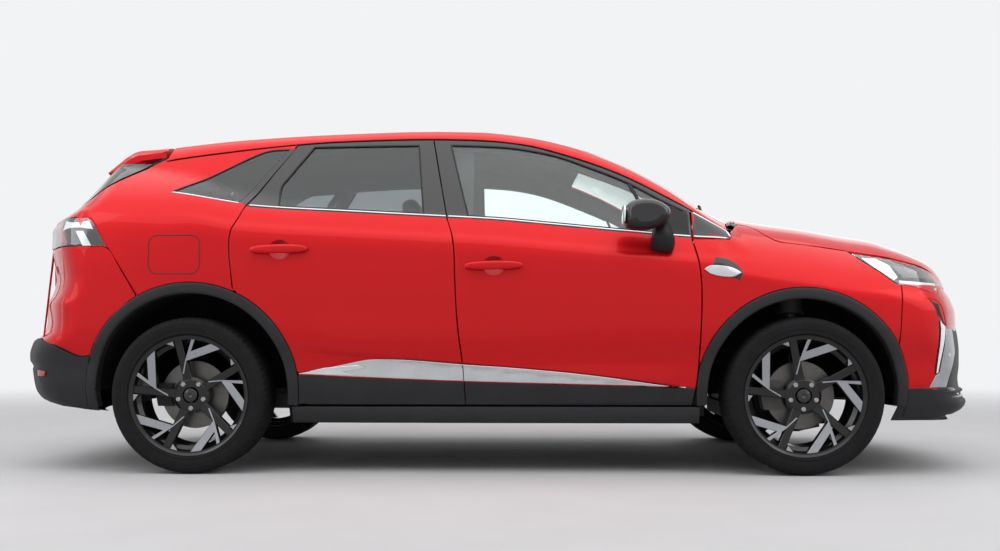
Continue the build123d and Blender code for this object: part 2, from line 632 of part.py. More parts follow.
bumper -= poly_rear(1900, 2300, upper_mouth)
bumper -= poly_rear(1900, 2300, lower_mouth)
BEAM_X = 2080.0
for y in (-420, 420):
    foot = wrap_slab(1400, math.degrees(math.atan2(y, 700)) - 8,
                     math.degrees(math.atan2(y, 700)) + 8, 7, 470, 560, 8, 11, 90)
    bumper += foot & block(BEAM_X + SEAT_GAP, 2200, y - 30, y + 30, 478, 540)
save("front_bumper", bumper)

grille = wrap_slab(1400, -42, 42, 21, 560, 768, 12, 12 + SEAT_GAP, 10)
mesh = wrap_slab(1400, -46, 46, 21, 316, 474, 10, 12 + SEAT_GAP, 10)
save("grille", Compound(children=[
    grille & block(1800, 2300, -500, 500, 562, 768), mesh & block(1800, 2300, -600, 600, 318, 468)]))

lamp_rise = curve((24, 888), (32, 884), (45, 872), (60, 926), (78, 966))
lamp = wrap_slab(1300, 25, 77, 26, 770, lamp_rise, 14, 1, 46)
lamp_top = [(x, bonnet_shut_z(x) - 10) for x in (1553, 1640, 1751, 1840, 1920)]
lamp_top += [(1990, 850), (2080, 846)]
lamp_back = run(wing_front[1:], 5)[::-1]
lamp &= side_prism(100, DEEP, lamp_top, [lamp_top[-1], (2120, 818)], [(2120, 818), (1730, 818)],
                   [(1730, 818), lamp_back[0]],
                   lamp_back, [lamp_back[-1], lamp_top[0]])
lamp &= block(1400, 2300, 300, DEEP, 818, 1000)
lamp -= under_bonnet
save_pair("headlamp", lamp)
for y in (-LID_HINGE_Y, LID_HINGE_Y):
    bonnet -= block(1000, BONNET_HINGE_X + HINGE_SLOT, y - 12, y + 12, 1050, 1200)
    bonnet -= across(BONNET_HINGE_X, BONNET_HINGE_Z, HINGE_PIN_R + HINGE_FIT, y - 28, y + 28)
save("bonnet", bonnet)

# ------------------------------------------------------------------ rear end
rear_bumper = wrap_slab(-1500, 92, 268, 45, 262, 984, 40, 0, 12)
cut_back = poly_side(-DEEP, DEEP, [(-1000, 200), (-1700, 200), (-1744, 300), (-1744, 480),
                                   (-1557, 640), (-1557, 776), (-1628, 892), (-1681, 972),
                                   (-1754, 979), (-1754, 1100), (-1000, 1100)])
rear_bumper -= cut_back
rear_bumper -= arch_cut(REAR_ARCH, -ARCH_TRIM_W + 1, -DEEP, DEEP)
rear_bumper -= arch_cut(REAR_ARCH, -ARCH_TRIM_W + TUB_T + 1, -TUB_OUT_Y - 1, TUB_OUT_Y + 1)
GATE_LOW_Z = 706.0
gate_side = [(520, GATE_LOW_Z), (572, 800), (590, 900), (596, 985), (596, 1110), (590, 1180)]


def gate_outline(g, top):
    right = [(y + g, z) for y, z in gate_side]
    right[0] = (right[0][0], GATE_LOW_Z - g)
    left = [(-y, z) for y, z in right[::-1]]
    return [right, [right[-1], (right[-1][0], top)], [(right[-1][0], top), (left[0][0], top)],
            [(left[0][0], top), left[0]], left, [left[-1], right[0]]]


rear_bumper -= rear_prism(-2300, -1700, *gate_outline(HALF_GAP, 1300))
for y in (-380, 380):
    ang = 180 - math.degrees(math.atan2(y, 560))
    foot = wrap_slab(-1500, ang - 8, ang + 8, 7, 470, 570, 8, 11, 110)
    rear_bumper += foot & block(-2200, -2090 - SEAT_GAP, y - 30, y + 30, 480, 550)
save("rear_bumper", rear_bumper)

tail_lamp = wrap_slab(-1500, 100, 160, 20, 975, 1120, 10, 1, 46)
tail_lamp &= poly_side(300, DEEP, [(-1752, 986), (-1829, 1110), (-2300, 1110), (-2300, 986)])
tail_lamp -= rear_prism(-2300, -1500, *gate_outline(HALF_GAP, 1300))
save_pair("tail_lamp", tail_lamp)

GATE_TOP_X = -1513.0
rows = []
for y in spaced(-640, 640, 27):
    rows.append([(skin_rear(y, z), y, z) for z in
                 spaced(690, 1110, 14) + [1130, 1150, 1170, 1190] + spaced(1215, 1400, 8)])
gate = between(rows, shifted(rows, 42, 0, 0))
gate &= rear_prism(-2300, -1500, *gate_outline(-HALF_GAP, 1392))
gate &= poly_side(-DEEP, DEEP, [(-2300, 600), (-1500, 600), (-1500, 1500), (-1800, 1500),
                                (-2300, 1500)])
spoiler = top_slab(-1836, -1500, 10, 640, 21, 0, 26)
lip_run = [(-1790, 585), (-1822, 400), (-1832, 0), (-1822, -400), (-1790, -585)]
spoiler &= plan_prism(1300, 1600, lip_run, [lip_run[-1], (GATE_TOP_X, -604)],
                      [(GATE_TOP_X, -604), (GATE_TOP_X, 604)], [(GATE_TOP_X, 604), lip_run[0]])

def hatch_outline(g):
    top = [(470 + g, 1352 + g), (300, 1366 + g), (-300, 1366 + g), (-470 - g, 1352 + g)]
    low = [(-505 - g, 1186 - g), (-300, 1174 - g), (300, 1174 - g), (505 + g, 1186 - g)]
    return [[low[-1], top[0]], top, [top[-1], low[0]], low]


gate += spoiler
gate -= rear_prism(-2300, -1600, *hatch_outline(0))
for y in (-LID_HINGE_Y, LID_HINGE_Y):
    gate -= block(HATCH_HINGE_X - HINGE_SLOT, GATE_TOP_X + 20, y - 12, y + 12, 1300, 1600)
    gate -= across(HATCH_HINGE_X, HATCH_HINGE_Z, HINGE_PIN_R + HINGE_FIT, y - 28, y + 28)
save("tailgate", gate)
pane_rows = []
for y in spaced(-540, 540, 19):
    pane_rows.append([(skin_rear(y, z) + 2, y, z) for z in spaced(1160, 1380, 12)])
pane = between(pane_rows, shifted(pane_rows, 8, 0, 0)) & rear_prism(-2300, -1500,
                                                                   *hatch_outline(-SEAT_GAP))
save("tailgate_glass", pane)

# ------------------------------------------------------------------ floor, firewall, front frame
FLOOR_Z = 236.0
FLOOR_HALF = SILL_IN_Y - 90 - SEAT_GAP
HEEL_X = -890.0
floor = block(-880, 925, -FLOOR_HALF, FLOOR_HALF, FLOOR_Z, FLOOR_Z + 18)
floor += block(-880, 925, -130, 130, FLOOR_Z + 18, 330)
floor += block(HEEL_X, -620, -FLOOR_HALF, FLOOR_HALF, FLOOR_Z, 430)
floor += block(-2050, -880, -TUB_IN_Y + SEAT_GAP, TUB_IN_Y - SEAT_GAP, 430, 448)
for y in (-450, 450):
    floor += block(-2050, -1200, y - 12, y + 12, 448, 596)
floor += block(-2050, -1200, -TUB_IN_Y + SEAT_GAP, TUB_IN_Y - SEAT_GAP, 596, 608)
floor += block(-2088, -2050, -TUB_IN_Y + SEAT_GAP, TUB_IN_Y - SEAT_GAP, 420, 690)
floor += block(905, 925, -618, 618, FLOOR_Z, 985)
floor += block(925, 1010, -618, 618, 970, 985)
for s in (-1, 1):
    floor += block(925, BEAM_X - 30, s * 430 - 28, s * 430 + 28, 450, 520)
    floor += block(905, 1500, *sorted((s * 700, s * 740)), 850, 884)
    floor += block(905, 925, *sorted((s * 600, s * 740)), 850, 884)
    floor += block(1190, 1430, *sorted((s * 458, s * 700)), 866, 884)
    floor += block(1190, 1430, *sorted((s * 440, s * 458)), 450, 884)
floor += block(BEAM_X - 30, BEAM_X, -520, 520, 470, 560)
radiator_x = BEAM_X - 100
floor += block(radiator_x, radiator_x + 30, -458, 458, 500, 740)
for x in (1150, 1480):
    for y in (-430, 430):
        floor += block(x - 25, x + 25, y - 25, y + 25, 262, 450)
for y in (-LID_HINGE_Y, LID_HINGE_Y):
    floor += block(1000, BONNET_HINGE_X + 10, y - 8, y + 8, 970, 985)
    floor += block(BONNET_HINGE_X - 10, BONNET_HINGE_X + 10, y - 8, y + 8, 985, BONNET_HINGE_Z)
    floor += across(BONNET_HINGE_X, BONNET_HINGE_Z, 10, y - 8, y + 8)
    floor += across(BONNET_HINGE_X, BONNET_HINGE_Z, HINGE_PIN_R, y - 26, y + 26)
save("floor_pan", floor)

COWL_DROP = 40.0
cowl = top_slab(1010, 1075, 5, 560, 13, COWL_DROP, 6) & block(1036, 1066, -550, 550, 900, 1200)
cowl_box = block(925 + SEAT_GAP, 1066, -550, 550, 985 + SEAT_GAP, 997)
cowl_box += block(1036, 1044, -550, 550, 990, 1200) & top_slab(1000, 1075, 5, 600, 13,
                                                               COWL_DROP + 4, 260)
save("cowl_panel", cowl + cowl_box)

# ------------------------------------------------------------------ front running gear
SUB_TOP_Z = 262.0 - SEAT_GAP
subframe = block(1120, 1180, -460, 460, 190, SUB_TOP_Z) + block(1450, 1510, -460, 460, 190,
                                                                 SUB_TOP_Z)
BALL = (690.0, 182.0)
for s in (-1, 1):
    subframe += block(1120, 1510, *sorted((s * 400, s * 460)), 190, 240)
    subframe += plan_prism(176, 190, [(1150, s * 400), (1150, s * 470)],
                           [(1150, s * 470), (FRONT_AXLE_X - 24, s * 684)],
                           [(FRONT_AXLE_X - 24, s * 684), (FRONT_AXLE_X + 24, s * 684)],
                           [(FRONT_AXLE_X + 24, s * 684), (1480, s * 470)],
                           [(1480, s * 470), (1480, s * 400)], [(1480, s * 400), (1150, s * 400)])
    subframe += rod((FRONT_AXLE_X, s * BALL[0], 176), (FRONT_AXLE_X, s * BALL[0], 190), 24)
save("front_subframe", subframe)

KING_TOP = (575.0, 860.0)
HUB_FACE_Y = WHEEL_Y + 40.0
DISC_R = 148.0
DISC_T = 22.0
DISC_Y = HUB_FACE_Y - 46.0
SPINDLE_R = 24.0


def king_y(z):
    return BALL[0] + (KING_TOP[0] - BALL[0]) * (z - BALL[1]) / (KING_TOP[1] - BALL[1])


ax = FRONT_AXLE_X
knuckle = rod((ax, king_y(196), 196), (ax, king_y(230), 230), 20)
knuckle += block(ax - 34, ax + 34, king_y(230) - 24, 706, 205, 300)
knuckle += block(ax - 45, ax + 45, 640, 706, 290, 385)
knuckle += block(ax - 30, ax + 30, 606, 676, 380, 450)
knuckle += rod((ax, king_y(400), 400), (ax, king_y(856), 856), 25)
knuckle += rod((ax, king_y(690), 690), (ax, king_y(700), 700), 62)
knuckle += rod((ax, king_y(698), 698), (ax, king_y(842), 842), 54)
knuckle += across(ax, HUB_Z, 40, 690, DISC_Y - DISC_T / 2 - 6)
knuckle += across(ax, HUB_Z, SPINDLE_R, 690, DISC_Y + DISC_T / 2 + 6)
caliper = across(ax, HUB_Z, DISC_R + 22, DISC_Y - 34, DISC_Y + 30)
caliper -= across(ax, HUB_Z, DISC_R + 6, DISC_Y - DISC_T / 2 - 6, DISC_Y + DISC_T / 2 + 6)
caliper -= across(ax, HUB_Z, 96, 600, 900)
caliper &= block(ax - 200, ax - 84, 600, 900, HUB_Z - 62, HUB_Z + 62)
knuckle += caliper
knuckle += block(ax - 110, ax - 30, 684, DISC_Y - DISC_T / 2 - 8, HUB_Z - 34, HUB_Z + 34)
save_pair("front_knuckle", knuckle)

# ------------------------------------------------------------------ rear axle
rx = REAR_AXLE_X
axle = block(rx + 120, rx + 190, -600, 600, 270, 330)
for s in (-1, 1):
    axle += block(rx - 60, rx + 430, *sorted((s * 560, s * 610)), 268, 332)
    axle += block(rx + 380, HEEL_X - SEAT_GAP, *sorted((s * 540, s * 610)), 268, 332)
    axle += block(rx - 60, rx + 60, *sorted((s * 600, s * 700)), HUB_Z - 50, HUB_Z + 50)
    axle += across(rx, HUB_Z, 40, *sorted((s * 690, s * (DISC_Y - DISC_T / 2 - 6))))
    axle += across(rx, HUB_Z, SPINDLE_R, *sorted((s * 690, s * (DISC_Y + DISC_T / 2 + 6))))
    axle += block(rx - 20, rx + 180, *sorted((s * 370, s * 566)), 272, 290)
    axle += rod((rx + 90, s * 430, 288), (rx + 90, s * 430, 430 - SEAT_GAP), 50)
    brake = across(rx, HUB_Z, DISC_R + 18, *sorted((s * (DISC_Y - 32), s * (DISC_Y + 26))))
    brake -= across(rx, HUB_Z, DISC_R + 6, *sorted((s * (DISC_Y - DISC_T / 2 - 6),
                                                    s * (DISC_Y + DISC_T / 2 + 6))))
    brake -= across(rx, HUB_Z, 102, *sorted((s * 600, s * 900)))
    brake &= block(rx - 200, rx - 90, -900, 900, HUB_Z - 50, HUB_Z + 50)
    axle += brake
    axle += block(rx - 112, rx - 40, *sorted((s * 660, s * (DISC_Y - DISC_T / 2 - 8))),
                  HUB_Z - 30, HUB_Z + 30)
save("rear_axle", axle)

# ------------------------------------------------------------------ wheels
YR = Plane(origin=(0, 0, 0), x_dir=(0, 1, 0), z_dir=(1, 0, 0))   # local (y, radius)


def turned(*runs):
    return revolve(loop(YR, *runs), Axis.Y, 360)


def ring_y(y0, y1, r0, r1):
    """Plain ring about the wheel axis."""
    return across(0, 0, r1, y0, y1) - across(0, 0, r0, y0 - 5, y1 + 5)


HALF_W = TYRE_WIDTH / 2
R_OUT = TYRE_DIAMETER / 2
R_SEAT = RIM_SEAT_DIAMETER / 2
R_FL = RIM_FLANGE_DIAMETER / 2
tyre_runs = [[(-96, R_SEAT + SEAT_GAP), (-96, R_FL + 2)], [(-96, R_FL + 2), (-106, R_FL + 8)],
             [(-106, R_FL + 8), (-HALF_W, 292), (-104, R_OUT - 12)],
             [(-104, R_OUT - 12), (-92, R_OUT - 4)], [(-92, R_OUT - 4), (0, R_OUT), (92, R_OUT - 4)],
             [(92, R_OUT - 4), (104, R_OUT - 12)], [(104, R_OUT - 12), (HALF_W, 292), (106, R_FL + 8)],
             [(106, R_FL + 8), (96, R_FL + 2)], [(96, R_FL + 2), (96, R_SEAT + SEAT_GAP)],
             [(96, R_SEAT + SEAT_GAP), (88, R_SEAT + SEAT_GAP)], [(88, R_SEAT + SEAT_GAP), (86, R_SEAT + 14)],
             [(86, R_SEAT + 14), (90, 300)], [(90, 300), (-90, 300)],
             [(-90, 300), (-86, R_SEAT + 14)], [(-86, R_SEAT + 14), (-88, R_SEAT + SEAT_GAP)],
             [(-88, R_SEAT + SEAT_GAP), (-96, R_SEAT + SEAT_GAP)]]
tyre = turned(*tyre_runs)
barrel_pts = [(-103, R_FL), (-97.5, R_FL), (-96.5, R_SEAT), (-70, R_SEAT), (-60, 222), (60, 226),
              (72, R_SEAT), (96.5, R_SEAT), (97.5, R_FL), (103, R_FL), (102, R_SEAT - 8),
              (76, R_SEAT - 9), (62, 218), (-60, 214), (-74, R_SEAT - 9), (-102, R_SEAT - 8)]
wheel = turned(*[[barrel_pts[i], barrel_pts[(i + 1) % len(barrel_pts)]]
                 for i in range(len(barrel_pts))])
HUB_Y = HUB_FACE_Y - WHEEL_Y
wheel += ring_y(HUB_Y, HUB_Y + 34, HUB_BORE_R, 82)
wheel += across(0, 0, 34, HUB_Y + 22, HUB_Y + 46)
FACE = Plane(origin=(0, 0, 0), x_dir=(1, 0, 0), z_dir=(0, -1, 0))


def spoke(points, y0, y1):
    face = loop(FACE, *[[points[i], points[(i + 1) % len(points)]] for i in range(len(points))])
    return Solid.extrude(face, Vector(0, y1 - y0, 0)).moved(Location((0, y0, 0)))


arms = None
for k in range(5):
    one = spoke([(-20, 60), (20, 60), (16, 150), (52, 232), (20, 236), (-2, 176),
                 (-44, 234), (-66, 226), (-16, 146)], HUB_Y + 14, HUB_Y + 38)
    one = one.rotate(Axis.Y, 72.0 * k)
    arms = one if arms is None else arms + one
wheel += arms
for k in range(BOLT_COUNT):
    a = math.radians(36 + 360 / BOLT_COUNT * k)
    px, pz = BOLT_PCD / 2 * math.sin(a), BOLT_PCD / 2 * math.cos(a)
    wheel -= across(px, pz, BOLT_R, HUB_Y - 5, HUB_Y + 60)
    wheel -= across(px, pz, 12, HUB_Y + 12, HUB_Y + 60)
dy = DISC_Y - WHEEL_Y
disc = ring_y(dy - DISC_T / 2, dy + DISC_T / 2, SPINDLE_R + 6, DISC_R)
disc += ring_y(dy + DISC_T / 2 - 2, HUB_Y - 6, 60, 78)
disc += ring_y(HUB_Y - 7, HUB_Y, HUB_BORE_R, 78)
for k in range(BOLT_COUNT):
    a = math.radians(36 + 360 / BOLT_COUNT * k)
    disc -= across(BOLT_PCD / 2 * math.sin(a), BOLT_PCD / 2 * math.cos(a), BOLT_R, HUB_Y - 20,
                   HUB_Y + 5)
wheel += disc

for end, x in (("front", FRONT_AXLE_X), ("rear", REAR_AXLE_X)):
    place = Location((x, WHEEL_Y, HUB_Z))
    for name, shape in (("tyre", tyre), ("wheel", wheel)):
        save_pair("%s_%s" % (end, name), shape.moved(place))

# ------------------------------------------------------------------ engine block
save("engine_block", block(1130, 1560, -370, 370, 270, 800) + block(1190, 1480, -400, 400, 262,
                                                                   420))

# ------------------------------------------------------------------ cabin
SEAT_FLOOR = FLOOR_Z + 18 + SEAT_GAP


def front_seat(y):
    base = block(-120, 330, y - 210, y + 210, 300, 380)
    base += block(-80, 300, y - 200, y - 170, SEAT_FLOOR, 305)
    base += block(-80, 300, y + 170, y + 200, SEAT_FLOOR, 305)
    cushion = fillet((Pos(110, y, 435) * Box(520, 500, 130)).edges(), 45)
    back = fillet((Pos(0, 0, 300) * Box(120, 480, 640)).edges(), 50)
    back = back.moved(Location((-135, y, 450), (0, -22, 0)))
    rest = fillet((Pos(0, 0, 0) * Box(90, 250, 190)).edges(), 38)
    rest = rest.moved(Location((-405, y, 1150), (0, -12, 0)))
    stalk = rod((-372, y - 50, 1000), (-395, y - 50, 1120), 7)
    stalk += rod((-372, y + 50, 1000), (-395, y + 50, 1120), 7)
    return base + cushion + back + stalk + rest


save("front_seat_left", front_seat(370))
save("front_seat_right", front_seat(-370))
bench = fillet((Pos(-685, 0, 505) * Box(410, 1160, 146)).edges(), 40)
bench_back = fillet((Pos(0, 0, 290) * Box(130, 950, 600)).edges(), 40)
bench += bench_back.moved(Location((-905, 0, 452), (0, -20, 0)))
for y in (-290, 290):
    bench += fillet((Pos(-1130, y, 1090) * Box(80, 240, 130)).edges(), 34)
    bench += rod((-1105, y - 40, 950), (-1128, y - 40, 1060), 7)
    bench += rod((-1105, y + 40, 950), (-1128, y + 40, 1060), 7)
bench -= block(-1300, -500, -609.6, 609.6, 300, 430 + SEAT_GAP)
bench -= block(-1300, -880, -500, 500, 300, 448 + SEAT_GAP)
save("rear_bench", bench)

dash = poly_side(-680, 680, [(904.6, 560), (904.6, 984), (760, 1010), (600, 990), (520, 930),
                             (540, 840), (640, 760), (700, 600)])
dash -= block(690, 920, 600, 700, 400, 1100) + block(690, 920, -700, -600, 400, 1100)
dash += block(380, 720, -110, 110, 560, 800)
console = block(-80, 700, -110, 110, 330 + SEAT_GAP, 570)
save("dashboard", dash + console)
WHEEL_TILT = 24.0
rim_t = Torus(176, 15)
rim_t += Cylinder(46, 40) + Box(330, 34, 16) + Pos(0, -85, 0) * Box(40, 170, 14)
rim_t += Pos(0, 0, -70) * Cylinder(30, 130)
sw = rim_t.moved(Location((0, 0, 0), (0, 0, 90)))
sw = sw.moved(Location((400, 370, 900), (0, -90 + WHEEL_TILT, 0)))
sw -= dash
save("steering_wheel", sw)
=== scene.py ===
import json
import math
from functools import partial

import bpy
import numpy as np
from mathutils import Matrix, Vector, geometry

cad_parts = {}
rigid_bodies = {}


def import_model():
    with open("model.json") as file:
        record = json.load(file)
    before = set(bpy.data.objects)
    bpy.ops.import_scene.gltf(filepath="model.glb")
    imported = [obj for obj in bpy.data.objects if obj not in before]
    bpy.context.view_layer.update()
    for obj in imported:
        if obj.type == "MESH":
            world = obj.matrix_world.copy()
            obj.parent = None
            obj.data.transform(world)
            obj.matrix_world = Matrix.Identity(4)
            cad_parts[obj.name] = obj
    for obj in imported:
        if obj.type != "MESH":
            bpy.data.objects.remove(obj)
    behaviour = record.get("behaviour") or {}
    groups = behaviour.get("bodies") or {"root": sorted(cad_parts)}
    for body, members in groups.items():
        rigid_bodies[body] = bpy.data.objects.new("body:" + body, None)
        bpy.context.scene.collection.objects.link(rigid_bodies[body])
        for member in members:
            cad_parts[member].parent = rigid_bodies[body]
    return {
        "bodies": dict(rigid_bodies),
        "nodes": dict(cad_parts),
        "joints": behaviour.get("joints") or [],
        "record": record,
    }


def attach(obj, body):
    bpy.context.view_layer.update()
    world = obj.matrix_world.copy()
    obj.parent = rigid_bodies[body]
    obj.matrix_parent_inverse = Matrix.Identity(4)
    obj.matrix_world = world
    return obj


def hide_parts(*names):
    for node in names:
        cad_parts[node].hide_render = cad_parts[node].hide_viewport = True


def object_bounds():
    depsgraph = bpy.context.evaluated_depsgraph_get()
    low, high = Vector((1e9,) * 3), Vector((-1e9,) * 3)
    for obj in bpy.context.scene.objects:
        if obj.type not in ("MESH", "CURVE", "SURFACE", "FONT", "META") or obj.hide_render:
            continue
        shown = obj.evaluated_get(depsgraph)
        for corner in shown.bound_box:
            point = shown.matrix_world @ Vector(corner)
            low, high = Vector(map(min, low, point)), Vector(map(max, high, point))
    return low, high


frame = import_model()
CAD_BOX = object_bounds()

BOX_LOW, BOX_HIGH = (np.array(c) for c in CAD_BOX)
MM = 0.001                  # outlines and skin functions below are in millimetres
SIDES = (("left", 1.0), ("right", -1.0))
FRONT_DOOR, REAR_DOOR = "front_door_%s_body", "rear_door_%s_body"

# ------------------------------------------------------------------ driving dimensions (mm)
FRONT_AXLE_X = 1311.5
REAR_AXLE_X = -1326.5
HUB_Z = 338.0
WHEEL_Y = 776.5
FRONT_ARCH = (1303.0, 350.0, 449.0)    # x, z, radius of the trim's outer edge
REAR_ARCH = (-1320.0, 358.0, 466.0)
SHUT_GAP = 5.0
PROUD = 2.2                 # painted skin over the structural panel
EDGE_R = 2.4                # rounding of a panel's edge


# ------------------------------------------------------------------ skin of the body
def curve(*pts):
    """Monotone cubic through the (u, v) points, straight beyond the ends; works on arrays."""
    us, vs = np.array(sorted(pts), float).T
    h = np.diff(us)
    d = np.diff(vs) / h
    m = np.empty(len(us))
    m[0], m[-1] = d[0], d[-1]
    for i in range(1, len(us) - 1):
        m[i] = 0.0
        if d[i - 1] * d[i] > 0:
            w1, w2 = 2 * h[i] + h[i - 1], h[i] + 2 * h[i - 1]
            m[i] = (w1 + w2) / (w1 / d[i - 1] + w2 / d[i])

    def value(u):
        u = np.asarray(u, float)
        i = np.clip(np.searchsorted(us, u) - 1, 0, len(us) - 2)
        t = np.clip((u - us[i]) / h[i], 0, 1)
        mid = vs[i] * (1 + 2 * t) * (1 - t) ** 2 + vs[i + 1] * t * t * (3 - 2 * t)
        mid = mid + h[i] * (m[i] * t * (1 - t) ** 2 - m[i + 1] * t * t * (1 - t))
        low = vs[0] + m[0] * (u - us[0])
        high = vs[-1] + m[-1] * (u - us[-1])
        return np.where(u < us[0], low, np.where(u > us[-1], high, mid))

    return value


def smax(a, b, k):
    """Larger of two, blended where they are less than k apart."""
    h = np.maximum(k - np.abs(a - b), 0.0) / k
    return np.maximum(a, b) + h * h * k / 4


def smin(a, b, k):
    """Smaller of two, blended where they are less than k apart."""
    return -smax(-a, -b, k)


belt_z = curve((-2206, 1240), (-1800, 1232), (-1395, 1208), (-1088, 1158), (-597, 1128),
               (-298, 1111), (0, 1094), (215, 1074), (563, 1041), (840, 1017), (1000, 1009),
               (1248, 996), (1500, 970), (1750, 930), (1930, 880), (2206, 780))
waist_half = curve((-2300, 780), (-2000, 836), (-1750, 868), (-1500, 884), (-1326, 889),
                   (-900, 886), (-300, 884), (300, 884), (900, 885), (1311, 889), (1600, 884),
                   (1800, 868), (2000, 835), (2300, 770))
tuck_low = curve((150, -95), (220, -76), (300, -42), (400, -24), (470, -22), (520, -15),
                 (570, -5), (650, 0), (1500, 0))
tuck_high = curve((-800, 0), (-350, 0), (-250, -3), (-170, -10), (-110, -23), (-60, -43),
                  (-20, -66), (0, -82), (40, -120), (100, -190), (200, -330))
glass_half = curve((-2206, 600), (-1900, 655), (-1700, 690), (-1400, 735), (-1000, 778),
                   (-600, 797), (0, 803), (800, 800), (1000, 792), (1300, 780))
roof_line = curve((-2000, 1412), (-1796, 1447), (-1501, 1489), (-1147, 1526), (-729, 1549),
                  (-306, 1560), (-95, 1556), (115, 1534), (325, 1488), (534, 1411), (743, 1306),
                  (919, 1195), (1010, 1140), (1120, 1060), (1300, 900))
bonnet_line = curve((-2206, 1390), (-1800, 1382), (-1395, 1356), (-1000, 1300), (-298, 1261),
                    (215, 1224), (563, 1191), (840, 1167), (1035, 1146),
                    (1196, 1121), (1359, 1099), (1559, 1064), (1698, 1041), (1738, 1028),
                    (1837, 992), (1928, 950), (1996, 919), (2042, 892), (2100, 840), (2200, 640))
bonnet_edge = curve((-2300, 0), (800, 0), (1000, 480), (1060, 507), (2300, 507))
nose_line = curve((180, 1800), (210, 1960), (242, 2108), (261, 2172), (283, 2200), (300, 2206),
                  (336, 2186), (405, 2172), (465, 2178), (522, 2178), (590, 2172), (634, 2164),
                  (700, 2160), (752, 2142), (806, 2112), (880, 2085), (1000, 2060))
tail_line = curve((230, -1790), (260, -1870), (293, -2100), (319, -2158), (361, -2186),
                  (446, -2200), (512, -2206), (541, -2199), (585, -2176), (616, -2146),
                  (664, -2136), (730, -2138), (791, -2108), (850, -2094), (901, -2100),
                  (988, -2111), (1059, -2109), (1109, -2088), (1141, -2042), (1176, -1993),
                  (1212, -1952), (1339, -1835), (1386, -1790), (1500, -1680))
rail_z = curve((-1700, 1350), (-1539, 1380), (-1247, 1421), (-1066, 1444), (-720, 1474),
               (-302, 1486), (-93, 1481), (115, 1459), (323, 1401), (530, 1322), (737, 1212),
               (910, 1113), (1010, 1052))
window_top = curve((868, 1118), (734, 1187), (570, 1280), (425, 1343), (219, 1416), (12, 1449),
                   (-216, 1457), (-716, 1451), (-919, 1447), (-1061, 1434))
bonnet_shut_z = curve((1030, 1096), (1090, 1090), (1136, 1074), (1176, 1040), (1219, 1010),
                      (1248, 1001), (1378, 986), (1500, 968), (1607, 951), (1751, 926),
                      (1840, 903), (1930, 869), (2060, 815))
screen_half = curve((300, 560), (385, 566), (700, 600), (1012, 655), (1100, 670))


SHOULDER_DROP = 96.0        # the shoulder line runs this far under the windows


def relief(x, z):
    """How far pressed lines in the side panels stand out: shoulder line and lower-door crease."""
    x, z = np.broadcast_arrays(np.asarray(x, float), np.asarray(z, float))
    ends = np.clip((1480 - np.abs(x)) / 260, 0, 1)
    ends = ends * ends * (3 - 2 * ends)
    v = z - (belt_z(x) - SHOULDER_DROP)
    out = 7.0 * np.exp(-(np.where(v > 0, v / 19, v / 80)) ** 2) * ends
    w = z - (462.5 - 0.099 * x)
    span = np.clip((x + 840) / 160, 0, 1) * np.clip((820 - x) / 160, 0, 1)
    crease = np.where(w > 0, np.exp(-(w / 120) ** 2), np.clip(1 + w / 17, 0, 1))
    return out + 8.0 * crease * span * span * (3 - 2 * span)


def body_field(x, y, z):
    """Negative inside the body, positive outside."""
    a = np.abs(y)
    m = a / 1000.0
    nose = x - (nose_line(z) - 95.0 * (m / 0.55) ** 2.4)
    tail = (tail_line(z) + 432.0 * m ** 3.33) - x
    s = z - belt_z(x)
    side = waist_half(x) + tuck_low(z) + tuck_high(s) + relief(x, z)
    low = smax(a - side, z - (bonnet_line(x) - bonnet_edge(x) * m ** 5), 45.0)
    low = smax(low, nose, 70.0)
    low = smax(low, tail, 60.0)
    under = glass_half(x) + 30.0 * (1 - np.exp(0.43 * np.minimum(s, 0) / 30.0))
    side = np.where(s < 0, under, glass_half(x) - 0.43 * s - 0.00022 * s * s)
    top = smax(a - side, z - (roof_line(x) - 285.0 * m ** 4), 45.0)
    top = smax(top, tail, 40.0)
    return smin(low, top, 22.0)


def root(f, n, lo, hi):
    """Where f turns positive between lo (inside) and hi (outside), for n points at once."""
    lo, hi = np.full(n, float(lo)), np.full(n, float(hi))
    for _ in range(30):
        mid = (lo + hi) / 2
        out = f(mid) > 0
        hi = np.where(out, mid, hi)
        lo = np.where(out, lo, mid)
    return (lo + hi) / 2


def normals(p):
    """Outward unit normals of the skin at points p (n x 3)."""
    e = 1.5
    g = np.empty_like(p)
    for k in range(3):
        d = np.zeros(3)
        d[k] = e
        a, b = p + d, p - d
        g[:, k] = body_field(*a.T) - body_field(*b.T)
    return g / np.linalg.norm(g, axis=1)[:, None]


def on_side(q):
    """(x, z) to points on the left skin."""
    x, z = q.T
    return np.c_[x, root(lambda y: body_field(x, y, z), len(x), 200, 960), z]


def on_top(q):
    """(x, y) to points on the upper skin."""
    x, y = q.T
    return np.c_[x, y, root(lambda z: body_field(x, y, z), len(x), 600, 1700)]


def on_front(q):
    """(y, z) to points on the nose."""
    y, z = q.T
    return np.c_[root(lambda u: body_field(u, y, z), len(y), 1500, 2400), y, z]


def on_rear(q):
    """(y, z) to points on the tail."""
    y, z = q.T
    return np.c_[-root(lambda u: body_field(-u, y, z), len(y), 1500, 2400), y, z]


RAY_SCALE = 12.0            # one degree counts as this many mm when a corner patch is meshed


def on_ray(cx):
    """(compass angle in degrees x RAY_SCALE, z) to points round a corner about (cx, 0)."""
    def place(q):
        a, z = np.radians(q[:, 0] / RAY_SCALE), q[:, 1]
        c, s = np.cos(a), np.sin(a)
        r = root(lambda r: body_field(cx + r * c, r * s, z), len(a), 200, 1300)
        return np.c_[cx + r * c, r * s, z]
    return place


